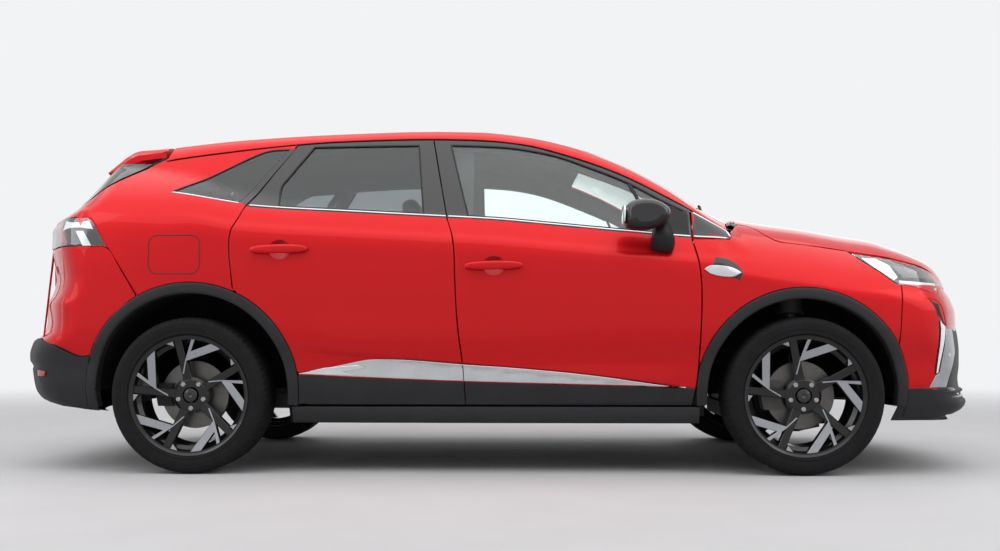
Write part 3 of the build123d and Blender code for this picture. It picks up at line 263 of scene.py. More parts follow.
def corner_points(place, cx, pts):
    """Points of a side, front or rear view as corner-patch coordinates about (cx, 0)."""
    p = place(np.array(pts, float))
    return [(math.degrees(math.atan2(y, x - cx)) * RAY_SCALE, z) for x, y, z in p]


NOSE_CX, TAIL_CX = 1400.0, -1500.0
on_nose, on_tail = on_ray(NOSE_CX), on_ray(TAIL_CX)
nose_side = partial(corner_points, on_side, NOSE_CX)
nose_front = partial(corner_points, on_front, NOSE_CX)
tail_side = partial(corner_points, on_side, TAIL_CX)
tail_rear = partial(corner_points, on_rear, TAIL_CX)


# ------------------------------------------------------------------ outline helpers
def smooth(points, step=12.0):
    """Points along a centripetal spline through the given ones, about `step` apart."""
    p = np.array(points, float)
    if len(p) == 2:
        n = max(1, int(np.linalg.norm(p[1] - p[0]) / step))
        return [tuple(p[0] + (p[1] - p[0]) * i / n) for i in range(n + 1)]
    ext = np.vstack([2 * p[0] - p[1], p, 2 * p[-1] - p[-2]])
    out = []
    for i in range(1, len(ext) - 2):
        a, b, c, d = ext[i - 1:i + 3]
        k = [np.linalg.norm(v) ** 0.5 for v in (b - a, c - b, d - c)]
        m1 = (c - b) + k[1] * ((b - a) / k[0] - (c - a) / (k[0] + k[1]))
        m2 = (c - b) + k[1] * ((d - c) / k[2] - (d - b) / (k[1] + k[2]))
        n = max(1, int(np.linalg.norm(c - b) / step))
        for j in range(n):
            t = j / n
            out.append(tuple((2 * t ** 3 - 3 * t ** 2 + 1) * b + (t ** 3 - 2 * t ** 2 + t) * m1
                             + (3 * t ** 2 - 2 * t ** 3) * c + (t ** 3 - t ** 2) * m2))
    out.append(tuple(p[-1]))
    return out


def arc(cx, cz, r, a0, a1, step=12.0):
    """Points on a circle from a0 to a1 degrees, 0 along +x and 90 up."""
    n = max(2, int(abs(math.radians(a1 - a0)) * r / step))
    return [(cx + r * math.cos(math.radians(a0 + (a1 - a0) * i / n)),
             cz + r * math.sin(math.radians(a0 + (a1 - a0) * i / n))) for i in range(n + 1)]


def circle(cx, cz, rx, rz, n):
    """n points round an ellipse."""
    return [(cx + rx * math.cos(a), cz + rz * math.sin(a))
            for a in np.linspace(0, 2 * math.pi, n, endpoint=False)]


def straight(*corners, step=12.0):
    """Points along the straight lines from corner to corner."""
    return [p for ends in zip(corners, corners[1:]) for p in smooth(ends, step)]


CLOSE = 2.5                 # outline points nearer than this are one point


def ring(*runs):
    """Closed outline from runs of points, with repeats dropped."""
    out = []
    for r in runs:
        for p in r:
            if not out or math.dist(out[-1], p) > CLOSE:
                out.append(tuple(p))
    while math.dist(out[0], out[-1]) < CLOSE:
        out.pop()
    return out


def inside(q, poly):
    """Which points q lie inside a closed polygon."""
    poly = np.array(poly)
    x, y = q.T
    odd = np.zeros(len(q), bool)
    for (x0, y0), (x1, y1) in zip(poly, np.roll(poly, -1, axis=0)):
        hit = (y0 > y) != (y1 > y)
        with np.errstate(divide="ignore", invalid="ignore"):
            odd ^= hit & (x < (x1 - x0) * (y - y0) / (y1 - y0) + x0)
    return odd


def near(q, poly, dist):
    """Which points q lie within dist of a closed polygon's edge."""
    a = np.array(poly)
    b = np.roll(a, -1, axis=0)
    d = b - a
    l2 = (d ** 2).sum(1)
    close = np.zeros(len(q), bool)
    for i in range(len(a)):
        t = np.clip(((q - a[i]) @ d[i]) / l2[i], 0, 1)
        close |= ((q - a[i] - t[:, None] * d[i]) ** 2).sum(1) < dist * dist
    return close


def grow(poly, g):
    """Closed polygon moved outward by g, whichever way it runs."""
    p = np.array(poly, float)
    area = (p[:, 0] * np.roll(p[:, 1], -1) - np.roll(p[:, 0], -1) * p[:, 1]).sum()
    t = np.roll(p, -1, axis=0) - np.roll(p, 1, axis=0)
    n = np.c_[t[:, 1], -t[:, 0]] / np.linalg.norm(t, axis=1)[:, None]
    return [tuple(v) for v in p + n * g * (1 if area > 0 else -1)]


def rounded_box(cx, cz, w, h, r, step=8.0):
    pts = []
    for sx, sz, a in ((1, 1, 0), (-1, 1, 90), (-1, -1, 180), (1, -1, 270)):
        corner = arc(cx + sx * (w / 2 - r), cz + sz * (h / 2 - r), r, a, a + 90, step)
        if pts:
            pts += smooth([pts[-1], corner[0]], 20)[1:-1]
        pts += corner
    pts += smooth([pts[-1], pts[0]], 20)[1:-1]
    return ring(pts)


def mirrored(half, about=0.0):
    """Closed outline from its left half, given from one end of the middle line to the other."""
    return ring(half, [(2 * about - u, v) for u, v in half[::-1]])


# ------------------------------------------------------------------ mesh helpers
def make(name, data, mat, body="body", flat=False):
    """Mesh object that rides on a body, from verts and faces and maybe normals, in millimetres."""
    mesh = bpy.data.meshes.new(name)
    verts = np.clip(np.asarray(data[0], float) * MM, BOX_LOW, BOX_HIGH)
    mesh.from_pydata(verts.tolist(), [], [list(f) for f in data[1]])
    mesh.polygons.foreach_set("use_smooth", [not flat] * len(mesh.polygons))
    mesh.update()
    if len(data) > 2:
        mesh.normals_split_custom_set_from_vertices([tuple(n) for n in data[2]])
    obj = bpy.data.objects.new(name, mesh)
    bpy.context.scene.collection.objects.link(obj)
    mesh.materials.append(mat)
    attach(obj, body)
    return obj


def mirror(data):
    """The right-hand form of a left-hand piece's verts, faces and normals."""
    flipped = [np.asarray(v) * (1, -1, 1) for v in (data[0], *data[2:])]
    return (flipped[0], [f[::-1] for f in data[1]], *flipped[1:])


def both(name, data, mat, body="body", instead_of=None):
    """A left-hand piece and its mirror image, maybe in place of solids; body may hold %s."""
    made = []
    for side, sg in SIDES:
        obj = make("%s_%s" % (name, side), data if sg > 0 else mirror(data), mat,
                   body % side if "%s" in body else body)
        if instead_of:
            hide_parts("%s_%s" % (instead_of, side))
        made.append(obj)
    return made


def patch(outline, place, step=14.0, holes=(), off=PROUD, t=10.0, edge=EDGE_R, back=False,
          sculpt=None):
    """Verts, faces and normals of a thin rounded panel over the skin.

    off is how far it stands out of the skin, t its depth, edge the rounding of its rim.
    """
    rims = [ring(outline)] + [ring(h) for h in holes]
    pts = np.array([p for r in rims for p in r], float)
    lo, hi = pts.min(0), pts.max(0)
    gx, gy = np.meshgrid(np.arange(lo[0], hi[0], float(step)),
                         np.arange(lo[1], hi[1], float(step)))
    gx[1::2] += step / 2
    g = np.c_[gx.ravel(), gy.ravel()]
    keep = inside(g, rims[0]) & ~near(g, rims[0], step * 0.55)
    for h in rims[1:]:
        keep &= ~inside(g, h) & ~near(g, h, step * 0.55)
    g = g[keep]
    flat = np.vstack([pts, g])
    edges, start = [], 0
    for r in rims:
        n = len(r)
        edges += [(start + i, start + (i + 1) % n) for i in range(n)]
        start += n
    got = geometry.delaunay_2d_cdt([Vector(p) for p in flat], edges, [], 0, 1e-4)
    v2 = np.array([tuple(v) for v in got[0]])
    tri = np.array([f for f in got[2] if len(f) == 3])
    mid = v2[tri].mean(1)
    ok = inside(mid, rims[0])
    for h in rims[1:]:
        ok &= ~inside(mid, h)
    tri = tri[ok]
    p = place(v2)
    n = normals(p)
    if sculpt is not None:
        p, n = sculpt(p, n, v2)
    out = p + n * off
    # wind every triangle outward
    a, b, c = out[tri[:, 0]], out[tri[:, 1]], out[tri[:, 2]]
    wrong = (np.cross(b - a, c - a) * n[tri[:, 0]]).sum(1) < 0
    tri[wrong] = tri[wrong][:, ::-1]
    # boundary edges, each in the direction its own triangle runs
    seen = {}
    for f in tri:
        for i in range(3):
            seen[(f[i], f[(i + 1) % 3])] = True
    rim = [(i, j) for i, j in seen if (j, i) not in seen]
    nxt = {}
    for i, j in rim:
        nxt.setdefault(i, []).append(j)
    verts, norms, faces = [out], [n], [tuple(f) for f in tri]
    count = len(out)
    for first in [i for i in nxt for _ in nxt[i]]:
        if not nxt[first]:
            continue
        loop = [first]
        while nxt.get(loop[-1]):
            j = nxt[loop[-1]].pop()
            if j == first:
                break
            loop.append(j)
        if len(loop) < 3:
            continue
        li = np.array(loop)
        q, nn = out[li].copy(), n[li]
        tan = np.roll(q, -1, axis=0) - np.roll(q, 1, axis=0)
        tan /= np.maximum(np.linalg.norm(tan, axis=1), 1e-9)[:, None]
        inw = np.cross(nn, tan)
        inw /= np.maximum(np.linalg.norm(inw, axis=1), 1e-9)[:, None]
        verts[0][li] = q + inw * edge
        prev = list(loop)
        rings = [(edge * (1 - math.sin(f)), edge * (1 - math.cos(f)),
                  nn * math.cos(f) - inw * math.sin(f)) for f in np.radians((45, 90))]
        rings.append((0.0, t, -inw))
        for ins, dep, rn in rings:
            verts.append(q + inw * ins - nn * dep)
            norms.append(rn)
            cur = list(range(count, count + len(loop)))
            count += len(loop)
            for k in range(len(loop)):
                m = (k + 1) % len(loop)
                faces.append((prev[m], prev[k], cur[k], cur[m]))
            prev = cur
    if back:
        verts.append(p + n * (off - t))
        norms.append(-n)
        faces += [tuple(count + i for i in f[::-1]) for f in tri]
    return np.vstack(verts), faces, np.vstack(norms)


def sheet_grid(rows):
    """Quads over rows of equal length."""
    n = len(rows[0])
    faces = [(i * n + j, i * n + j + 1, (i + 1) * n + j + 1, (i + 1) * n + j)
             for i in range(len(rows) - 1) for j in range(n - 1)]
    return [p for row in rows for p in row], faces


def loft(sections, ends=True):
    """Skin over closed sections that have equal numbers of points."""
    n = len(sections[0])
    faces = [(i * n + j, i * n + m, (i + 1) * n + m, (i + 1) * n + j)
             for i in range(len(sections) - 1) for j, m in enumerate([*range(1, n), 0])]
    if ends:
        faces += [tuple(range(n))[::-1], tuple((len(sections) - 1) * n + j for j in range(n))]
    return [p for row in sections for p in row], faces


def joined(parts):
    """Several pieces' verts and faces as one."""
    verts, faces = [], []
    for v, f in parts:
        base = len(verts)
        verts += [tuple(p) for p in v]
        faces += [tuple(base + i for i in g) for g in f]
    return verts, faces


def bead(points, place, section, off=0.0, closed=False):
    """Bar following a path on the skin; section is (across, out) points, going round."""
    q = np.array(points, float)
    p = place(q)
    n = normals(p)
    if closed:
        t = np.roll(p, -1, axis=0) - np.roll(p, 1, axis=0)
    else:
        t = np.gradient(p, axis=0)
    t /= np.linalg.norm(t, axis=1)[:, None]
    b = np.cross(n, t)
    k = len(section)
    verts = []
    for i in range(len(p)):
        for across, out in section:
            verts.append(p[i] + b[i] * across + n[i] * (out + off))
    faces = []
    count = len(p)
    for i in range(count if closed else count - 1):
        j = (i + 1) % count
        for s in range(k):
            m = (s + 1) % k
            faces.append((i * k + s, j * k + s, j * k + m, i * k + m))
    if not closed:
        faces += [tuple(range(k)), tuple((count - 1) * k + s for s in range(k))[::-1]]
    return verts, faces


def rounded_bar(w, h, r, drop=-6.0):
    """Section of a bar w wide, h proud, with rounded upper corners."""
    return [(-w / 2, drop), (-w / 2, h - r), (-w / 2 + r * 0.3, h - r * 0.3), (-w / 2 + r, h),
            (w / 2 - r, h), (w / 2 - r * 0.3, h - r * 0.3), (w / 2, h - r), (w / 2, drop)]


# ------------------------------------------------------------------ materials
def nodes_of(name):
    """New material with its node tree and its shader."""
    m = bpy.data.materials.new(name)
    m.use_nodes = True
    t = m.node_tree
    return m, t, t.nodes["Principled BSDF"]


def link(tree, a, out, b, inp):
    """Join output `out` of node a to input `inp` of node b."""
    tree.links.new(a.outputs[out], b.inputs[inp])


def noise(tree, scale, detail=3.0, stretch=None):
    """Noise over object coordinates, in metres."""
    co = tree.nodes.new("ShaderNodeTexCoord")
    tex = tree.nodes.new("ShaderNodeTexNoise")
    tex.inputs["Scale"].default_value = scale
    tex.inputs["Detail"].default_value = detail
    if stretch:
        mp = tree.nodes.new("ShaderNodeMapping")
        mp.inputs["Scale"].default_value = stretch
        link(tree, co, "Object", mp, "Vector")
        link(tree, mp, "Vector", tex, "Vector")
    else:
        link(tree, co, "Object", tex, "Vector")
    return tex


def ramp(tree, source, out, lo, hi, a=0.3, b=0.7):
    """Two-colour ramp on a node's output; lo and hi are numbers or RGB."""
    r = tree.nodes.new("ShaderNodeValToRGB")
    e = r.color_ramp.elements
    e[0].position, e[1].position = a, b
    for el, c in ((e[0], lo), (e[1], hi)):
        c = (c, c, c) if isinstance(c, (int, float)) else c
        el.color = (*c, 1)
    link(tree, source, out, r, "Fac")
    return r


def bump(tree, shader, height, out, strength, distance=0.0005):
    """Small relief from a node's output; distance in metres."""
    b = tree.nodes.new("ShaderNodeBump")
    b.inputs["Strength"].default_value = strength
    b.inputs["Distance"].default_value = distance
    link(tree, height, out, b, "Height")
    link(tree, b, "Normal", shader, "Normal")


def surface(name, colour, rough, metal=0.0, coat=0.0, coat_rough=0.03, vary=0.06, scale=9.0,
            grain=0.0, grain_scale=1200.0, rough_vary=0.05, spec=0.5, stretch=None):
    """Shader whose colour drifts a little, whose roughness varies, with an optional fine grain."""
    m, t, s = nodes_of(name)
    big = noise(t, scale, 4.0)
    lo = tuple(c * (1 - vary) for c in colour)
    hi = tuple(min(1.0, c * (1 + vary)) for c in colour)
    link(t, ramp(t, big, "Fac", lo, hi), "Color", s, "Base Color")
    fine = noise(t, grain_scale, 2.0, stretch)
    link(t, ramp(t, fine, "Fac", max(0.0, rough - rough_vary), min(1.0, rough + rough_vary)),
         "Color", s, "Roughness")
    s.inputs["Metallic"].default_value = metal
    s.inputs["Coat Weight"].default_value = coat
    s.inputs["Coat Roughness"].default_value = coat_rough
    s.inputs["Specular IOR Level"].default_value = spec
    if grain:
        bump(t, s, fine, "Fac", grain)
    return m


def car_paint(name, colour):
    """Metallic base with flakes under a clear coat."""
    m, t, s = nodes_of(name)
    co = t.nodes.new("ShaderNodeTexCoord")
    cell = t.nodes.new("ShaderNodeTexVoronoi")
    cell.inputs["Scale"].default_value = 2600.0
    link(t, co, "Object", cell, "Vector")
    flake = ramp(t, cell, "Distance", tuple(c * 1.25 for c in colour), tuple(c * 0.86 for c in colour),
                 0.05, 0.8)
    link(t, flake, "Color", s, "Base Color")
    peel = noise(t, 420.0, 1.0)
    link(t, ramp(t, peel, "Fac", 0.34, 0.42), "Color", s, "Roughness")
    bump(t, s, cell, "Distance", 0.05, 0.00008)
    s.inputs["Metallic"].default_value = 0.45
    s.inputs["Coat Weight"].default_value = 1.0
    s.inputs["Coat Roughness"].default_value = 0.015
    s.inputs["Coat IOR"].default_value = 1.24
    s.inputs["Specular IOR Level"].default_value = 0.06
    return m


def glazing(name, tint, dust=0.006, ior=1.5):
    """Clear or tinted pane that lets the lamps' light into the cabin."""
    m, t, s = nodes_of(name)
    haze = noise(t, 14.0, 4.0)
    link(t, ramp(t, haze, "Fac", tuple(c * 0.96 for c in tint), tint), "Color", s, "Base Color")
    link(t, ramp(t, haze, "Fac", 0.0, dust), "Color", s, "Roughness")
    s.inputs["Transmission Weight"].default_value = 1.0
    s.inputs["IOR"].default_value = ior
    clear = t.nodes.new("ShaderNodeBsdfTransparent")
    clear.inputs["Color"].default_value = (*tint, 1)
    path = t.nodes.new("ShaderNodeLightPath")
    mix = t.nodes.new("ShaderNodeMixShader")
    link(t, path, "Is Shadow Ray", mix, "Fac")
    t.links.new(s.outputs["BSDF"], mix.inputs[1])
    t.links.new(clear.outputs["BSDF"], mix.inputs[2])
    link(t, mix, "Shader", t.nodes["Material Output"], "Surface")
    return m


PAINT = car_paint("paint", (0.56, 0.006, 0.009))
GLOSS = surface("gloss_black", (0.010, 0.010, 0.012), 0.16, coat=0.6, vary=0.15, spec=0.3)
CLAD = surface("cladding", (0.015, 0.0155, 0.017), 0.58, grain=0.5, grain_scale=1500.0, vary=0.12,
               spec=0.3)
DARK = surface("dark_plastic", (0.010, 0.010, 0.011), 0.5, grain=0.3, grain_scale=900.0, spec=0.3)
LINER = surface("felt_liner", (0.010, 0.010, 0.010), 0.95, grain=0.9, grain_scale=500.0, spec=0.1)
SATIN = surface("satin_silver", (0.56, 0.57, 0.59), 0.30, metal=1.0, rough_vary=0.06,
                grain_scale=500.0)
CHROME = surface("chrome", (0.72, 0.73, 0.75), 0.10, metal=1.0, rough_vary=0.04)
GREY = surface("grey_panel", (0.33, 0.34, 0.36), 0.34, metal=0.75, coat=0.5, rough_vary=0.05)
GLASS = glazing("clear_glass", (0.80, 0.87, 0.85))
PRIVACY = glazing("privacy_glass", (0.34, 0.37, 0.38))
LAMP_GLASS = glazing("lamp_lens", (0.93, 0.95, 0.96))
LAMP_DARK = surface("lamp_bezel", (0.03, 0.03, 0.034), 0.22, vary=0.2)
LAMP_CHROME = surface("lamp_reflector", (0.80, 0.82, 0.85), 0.12, metal=1.0)
LAMP_WHITE = surface("light_guide", (0.86, 0.88, 0.90), 0.22, coat=1.0, vary=0.02)
LAMP_RED = surface("red_lens", (0.36, 0.01, 0.012), 0.15, coat=1.0, vary=0.1)
RUBBER = surface("tyre_rubber", (0.009, 0.009, 0.010), 0.72, grain=0.5, grain_scale=700.0,
                 vary=0.2, scale=30.0, spec=0.16)
ALLOY_BLACK = surface("alloy_black", (0.007, 0.007, 0.008), 0.2, coat=0.2, vary=0.2, spec=0.3)
ALLOY_CUT = surface("alloy_machined", (0.33, 0.34, 0.36), 0.36, metal=1.0, grain=0.12,
                    grain_scale=260.0, rough_vary=0.08)
STEEL = surface("bare_steel", (0.34, 0.33, 0.32), 0.38, metal=1.0, rough_vary=0.1,
                grain_scale=200.0, grain=0.15)
DISC = surface("brake_steel", (0.13, 0.125, 0.12), 0.42, metal=1.0, rough_vary=0.1,
               grain_scale=200.0, grain=0.15)
IRON = surface("cast_iron", (0.09, 0.088, 0.085), 0.6, metal=0.6, grain=0.6, grain_scale=350.0)
UNDER = surface("underbody_coat", (0.022, 0.022, 0.023), 0.8, grain=0.6, grain_scale=240.0)
CABIN = surface("cabin_plastic", (0.035, 0.035, 0.038), 0.6, grain=0.5, grain_scale=800.0)


def woven(name, colour, pitch=0.0024):
    """Cloth of crossed threads, with a painted highlight where a thread is on top and painted shade
    between threads.
    """
    m, t, s = nodes_of(name)
    co = t.nodes.new("ShaderNodeTexCoord")
    bands = []
    for turn in ((0.0, 0.0, 0.785), (0.0, 0.0, -0.785)):
        mp = t.nodes.new("ShaderNodeMapping")
        mp.inputs["Rotation"].default_value = turn
        link(t, co, "Object", mp, "Vector")
        wave = t.nodes.new("ShaderNodeTexWave")
        wave.wave_type, wave.bands_direction = "BANDS", "DIAGONAL"
        wave.inputs["Scale"].default_value = 0.31 / pitch
        wave.inputs["Distortion"].default_value = 0.4
        link(t, mp, "Vector", wave, "Vector")
        bands.append(wave)
    mix = t.nodes.new("ShaderNodeMath")
    mix.operation = "MULTIPLY"
    link(t, bands[0], "Fac", mix, 0)
    link(t, bands[1], "Fac", mix, 1)
    # painted shade in the gaps between threads and a painted highlight on thread tops, from the
    # crossed bands
    lo, hi = tuple(c * 0.55 for c in colour), tuple(c * 1.3 for c in colour)
    thread_shade = ramp(t, mix, "Value", lo, hi, 0.05, 0.8)
    big = noise(t, 22.0, 3.0)
    fade = ramp(t, big, "Fac", 0.82, 1.0)
    tone = t.nodes.new("ShaderNodeMixRGB")
    tone.blend_type = "MULTIPLY"
    tone.inputs["Fac"].default_value = 1.0
    link(t, thread_shade, "Color", tone, "Color1")
    link(t, fade, "Color", tone, "Color2")
    link(t, tone, "Color", s, "Base Color")
    s.inputs["Roughness"].default_value = 0.92
    s.inputs["Sheen Weight"].default_value = 0.35
    s.inputs["Sheen Roughness"].default_value = 0.5
    bump(t, s, mix, "Value", 0.5, 0.0004)
    return m


FABRIC = woven("seat_fabric", (0.052, 0.053, 0.057))

dict.fromkeys((GLOSS, DARK), "black_gloss")
dict.fromkeys((CLAD, LINER, GREY), "clad_plastic")
dict.fromkeys((LAMP_GLASS, LAMP_DARK, LAMP_CHROME, LAMP_WHITE, LAMP_RED),
                             "lamp_clear")
dict.fromkeys((SATIN, CHROME, ALLOY_BLACK, ALLOY_CUT, STEEL, DISC), "alloy")

CAD_LOOKS = {
    PAINT: ("front_door_left front_door_right rear_door_left rear_door_right body_side_left "
            "body_side_right front_wing_left front_wing_right roof_panel bonnet front_bumper "
            "rear_bumper tailgate"),
    GLOSS: "mirror_left mirror_right grille",
    CLAD: ("sill_cladding_left sill_cladding_right front_arch_trim_left front_arch_trim_right "
           "cowl_panel"),
    GLASS: "front_door_glass_left front_door_glass_right fixed_glass",
    PRIVACY: "rear_door_glass_left rear_door_glass_right tailgate_glass",
    LAMP_GLASS: "headlamp_left headlamp_right tail_lamp_left tail_lamp_right",
    RUBBER: "front_tyre_left front_tyre_right rear_tyre_left rear_tyre_right",
    ALLOY_BLACK: "front_wheel_left front_wheel_right rear_wheel_left rear_wheel_right",
    IRON: "front_knuckle_left front_knuckle_right engine_block",
    UNDER: "front_subframe rear_axle floor_pan",
    CABIN: "dashboard steering_wheel front_seat_left front_seat_right rear_bench",
}
for look, names in CAD_LOOKS.items():
    for n in names.split():
        frame["nodes"][n].data.materials.clear()
        frame["nodes"][n].data.materials.append(look)


def shade_by(names, looks, pick):
    """Give faces of CAD pieces one of several materials; pick(centres, normals) in mm."""
    for n in names.split():
        obj = frame["nodes"][n]
        mesh = obj.data
        count = len(mesh.polygons)
        c = np.empty(count * 3)
        mesh.polygons.foreach_get("center", c)
        m = np.array(obj.matrix_world)
        nn = np.empty(count * 3)
        mesh.polygons.foreach_get("normal", nn)
        c = (c.reshape(-1, 3) @ m[:3, :3].T + m[:3, 3]) / MM
        nn = nn.reshape(-1, 3) @ m[:3, :3].T
        mesh.materials.clear()
        for look in looks:
            mesh.materials.append(look)
        mesh.polygons.foreach_set("material_index", pick(c, nn).astype(np.int32))
        mesh.update()


def depth(c):
    """How far face centres lie inside the skin, roughly."""
    return -body_field(*c.T)


def in_arch(c, extra):
    """Which points lie within a wheel arch's circle, widened by extra."""
    hit = np.zeros(len(c), bool)
    for ax, az, r in (FRONT_ARCH, REAR_ARCH):
        hit |= np.hypot(c[:, 0] - ax, c[:, 2] - az) < r + extra
    return hit


def side_look(c, n):
    """Paint outside, liner in the wheel houses, trim towards the cabin."""
    d = depth(c)
    look = np.zeros(len(c), int)
    look[(d > 22) & (c[:, 2] > 300)] = 2
    look[(d > 22) & (np.abs(c[:, 1]) > 690) & (c[:, 0] > -1100) & (c[:, 0] < 850)] = 0
    look[(d > 22) & (c[:, 0] > 850)] = 1
    look[(d > 22) & (c[:, 2] > 1010)] = 2
    look[(d > 6) & in_arch(c, 60) & (np.abs(c[:, 0]) > 780)] = 1
    look[in_arch(c, 12) & (np.abs(c[:, 0]) > 780)] = 1
    look[c[:, 2] < 345] = 1
    return look


shade_by("body_side_left body_side_right front_wing_left front_wing_right", [PAINT, LINER, CABIN],
         side_look)
shade_by("front_door_left front_door_right rear_door_left rear_door_right",
         [PAINT, CABIN, GLOSS, CLAD],
         lambda c, n: np.where(depth(c) > 28, 1, np.where(
             c[:, 2] > belt_z(c[:, 0]) - 4, 2, np.where(c[:, 2] < 380, 3, 0))))
shade_by("rear_bumper", [PAINT, CLAD, LINER],
         lambda c, n: np.where(depth(c) > 14, 2, np.where(c[:, 2] < 560, 1, 0)))
shade_by("front_bumper", [PAINT, GLOSS, LINER, CLAD],
         lambda c, n: np.where(depth(c) > 14, 2, np.where(
             c[:, 2] < 330, 3, np.where((c[:, 2] < 630) & (c[:, 0] > 1880), 1, 0))))
shade_by("tailgate", [PAINT, CABIN, GREY],
         lambda c, n: np.where((c[:, 2] > 1376) & (n[:, 2] < -0.2) & (c[:, 0] < -1600), 2,
                               np.where(depth(c) > 16, 1, 0)))
shade_by("roof_panel bonnet", [PAINT, CABIN], lambda c, n: np.where(depth(c) > 10, 1, 0))


# ------------------------------------------------------------------ painted panels
LEAD = smooth([(836, 296), (856, 400), (868, 600), (873, 780), (868, 870), (857, 940),
               (843, 1004)])
B_POST = smooth([(-133, 296), (-146, 477), (-166, 634), (-178, 830), (-187, 1000), (-217, 1104)])
BACK = smooth([(-1098, 1160), (-1122, 1099), (-1143, 1050), (-1150, 990), (-1147, 931),
               (-1133, 800)])
TRIM_TOP = curve((-900, 418), (-851, 433), (-669, 472), (-532, 497), (-472, 499), (-143, 477),
                 (312, 439), (784, 378), (880, 364))
TRIM_LOW = curve((-900, 426), (-851, 427), (-669, 420), (-143, 399), (409, 385), (784, 376),
                 (880, 372))


def at(f, x, dz=0.0):
    """The point of a curve at x, dz higher."""
    return x, float(f(x)) + dz


def along(f, x0, x1, step=12.0, dz=0.0):
    """Points of a curve from x0 to x1, dz higher."""
    n = max(2, int(abs(x1 - x0) / step))
    return [at(f, x0 + (x1 - x0) * i / n, dz) for i in range(n + 1)]


def between_z(points, z0, z1):
    """The points of a line between two heights."""
    return [p for p in points if z0 <= p[1] <= z1]


def arch_run(arch, *heights):
    """Arch circle between two heights, each (z, +1 on its front half or -1 on its rear)."""
    x, z, r = arch
    ends = [math.degrees(math.asin((h - z) / r)) for h, _ in heights]
    return arc(x, z, r, *(a if half > 0 else 180 - a for a, (_, half) in zip(ends, heights)))


def side_panel(name, outline, step, t, body="body", holes=()):
    """Painted panel over a side of the body, with a shut gap round it."""
    both(name, patch(grow(outline, GAP), on_side, step, holes=holes, t=t), PAINT, body)


GAP = -SHUT_GAP / 2
DOOR_TOP, DOOR_LOW = 1100, 484      # the shut line between the doors runs between these heights
BETWEEN_DOORS = between_z(B_POST, DOOR_LOW, DOOR_TOP)
side_panel("front_door_skin",
           ring([(843, 1016)], between_z(LEAD, 372, 1005)[::-1], along(TRIM_TOP, 848, -148),
                BETWEEN_DOORS, along(belt_z, -214, 835, dz=2)), 9, 15, FRONT_DOOR)
side_panel("rear_door_skin",
           ring(BETWEEN_DOORS[::-1], along(TRIM_TOP, -150, -850),
                arch_run(REAR_ARCH, (440, 1), (776, 1)), BACK[::-1],
                along(belt_z, -1096, -218, dz=2)), 9, 15, REAR_DOOR)

HATCH_EDGE = [(-1506, 1394), (-1546, 1372), (-1700, 1268), (-1822, 1184), (-1850, 1176)]
quarter_hole = ring(smooth([(-1424, 1226), (-1250, 1320), (-1041, 1426), (-938, 1436)], 14),
                    smooth([(-938, 1436), (-1030, 1312), (-1124, 1182)], 14),
                    smooth([(-1124, 1182), (-1300, 1207), (-1424, 1226)], 14))
side_panel("quarter_skin",
           ring(along(rail_z, -905, -1500, dz=-2), smooth(HATCH_EDGE),
                [(-1852, 1114), (-1762, 1106)], smooth([(-1762, 1106), (-1741, 1080), (-1683, 980)]),
                smooth([(-1683, 980), (-1622, 892), (-1551, 776)]), [(-1551, 776), (-1553, 760)],
                arch_run(REAR_ARCH, (762, -1), (776, 1)), BACK[::-1],
                smooth([(-1098, 1160), at(rail_z, -905, -2)])), 11, 13, holes=[quarter_hole])

LAMP_BACK = smooth([(1532, 958), (1566, 929), (1609, 892), (1652, 860), (1692, 823), (1722, 810)])
side_panel("wing_skin",
           ring(between_z(LEAD, 478, 1006), [(850, 1013), (1014, 1013), (1022, 1046), (1066, 1089)],
                along(bonnet_shut_z, 1066, 1532), LAMP_BACK,
                smooth([(1722, 810), (1712, 640), (1706, 566)]),
                arch_run(FRONT_ARCH, (560, 1), (478, -1))), 11, 13)


def other_side(points):
    """The points of a top view mirrored to the other side, in the same order."""
    return [(x, -y) for x, y in points]


roof_edge = [(x, float(on_side(np.array([at(rail_z, x)]))[0][1]) - 1)
             for x in np.linspace(-1504, 1008, 60)]
screen = [at(screen_half, x, 2) for x in np.linspace(385, 1010, 30)]
roof = ring(roof_edge, screen[::-1],
            smooth([(385, 566), (402, 300), (407, 0), (402, -300), (385, -566)]),
            other_side(screen), other_side(roof_edge[::-1]))
roof_obj = make("roof_skin", patch(grow(roof, GAP / 2), on_top, 22, off=-0.1, t=9, back=True),
                PAINT)
roof_obj.data.materials.append(CABIN)
for poly in roof_obj.data.polygons:
    poly.material_index = int(poly.normal.z < -0.2)
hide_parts("roof_panel")


def bonnet_half(x):
    """Half width of the bonnet at x: where the skin drops under its shut line."""
    ys = np.linspace(300, 860, 281)
    z = on_top(np.c_[np.full(len(ys), x), ys])[:, 2]
    return float(ys[np.argmax(z < bonnet_shut_z(x))])


rim = [(x, bonnet_half(x) - 3) for x in np.linspace(1064, 1880, 50)]
tip = [rim[-1], (1975, 640), (2022, 480), (2044, 300), (2052, 0)]
(heel_x, heel_y), heel_mid = rim[0], (rim[0][0] + 14, 300)
bonnet = ring(rim, smooth(tip + other_side(tip[-2::-1])), other_side(rim[::-1]),
              smooth([(heel_x, -heel_y), (heel_x + 14, -300), (heel_x + 20, 0), heel_mid, rim[0]]))
make("bonnet_skin", patch(grow(bonnet, GAP / 2), on_top, 18), PAINT, "bonnet_body")


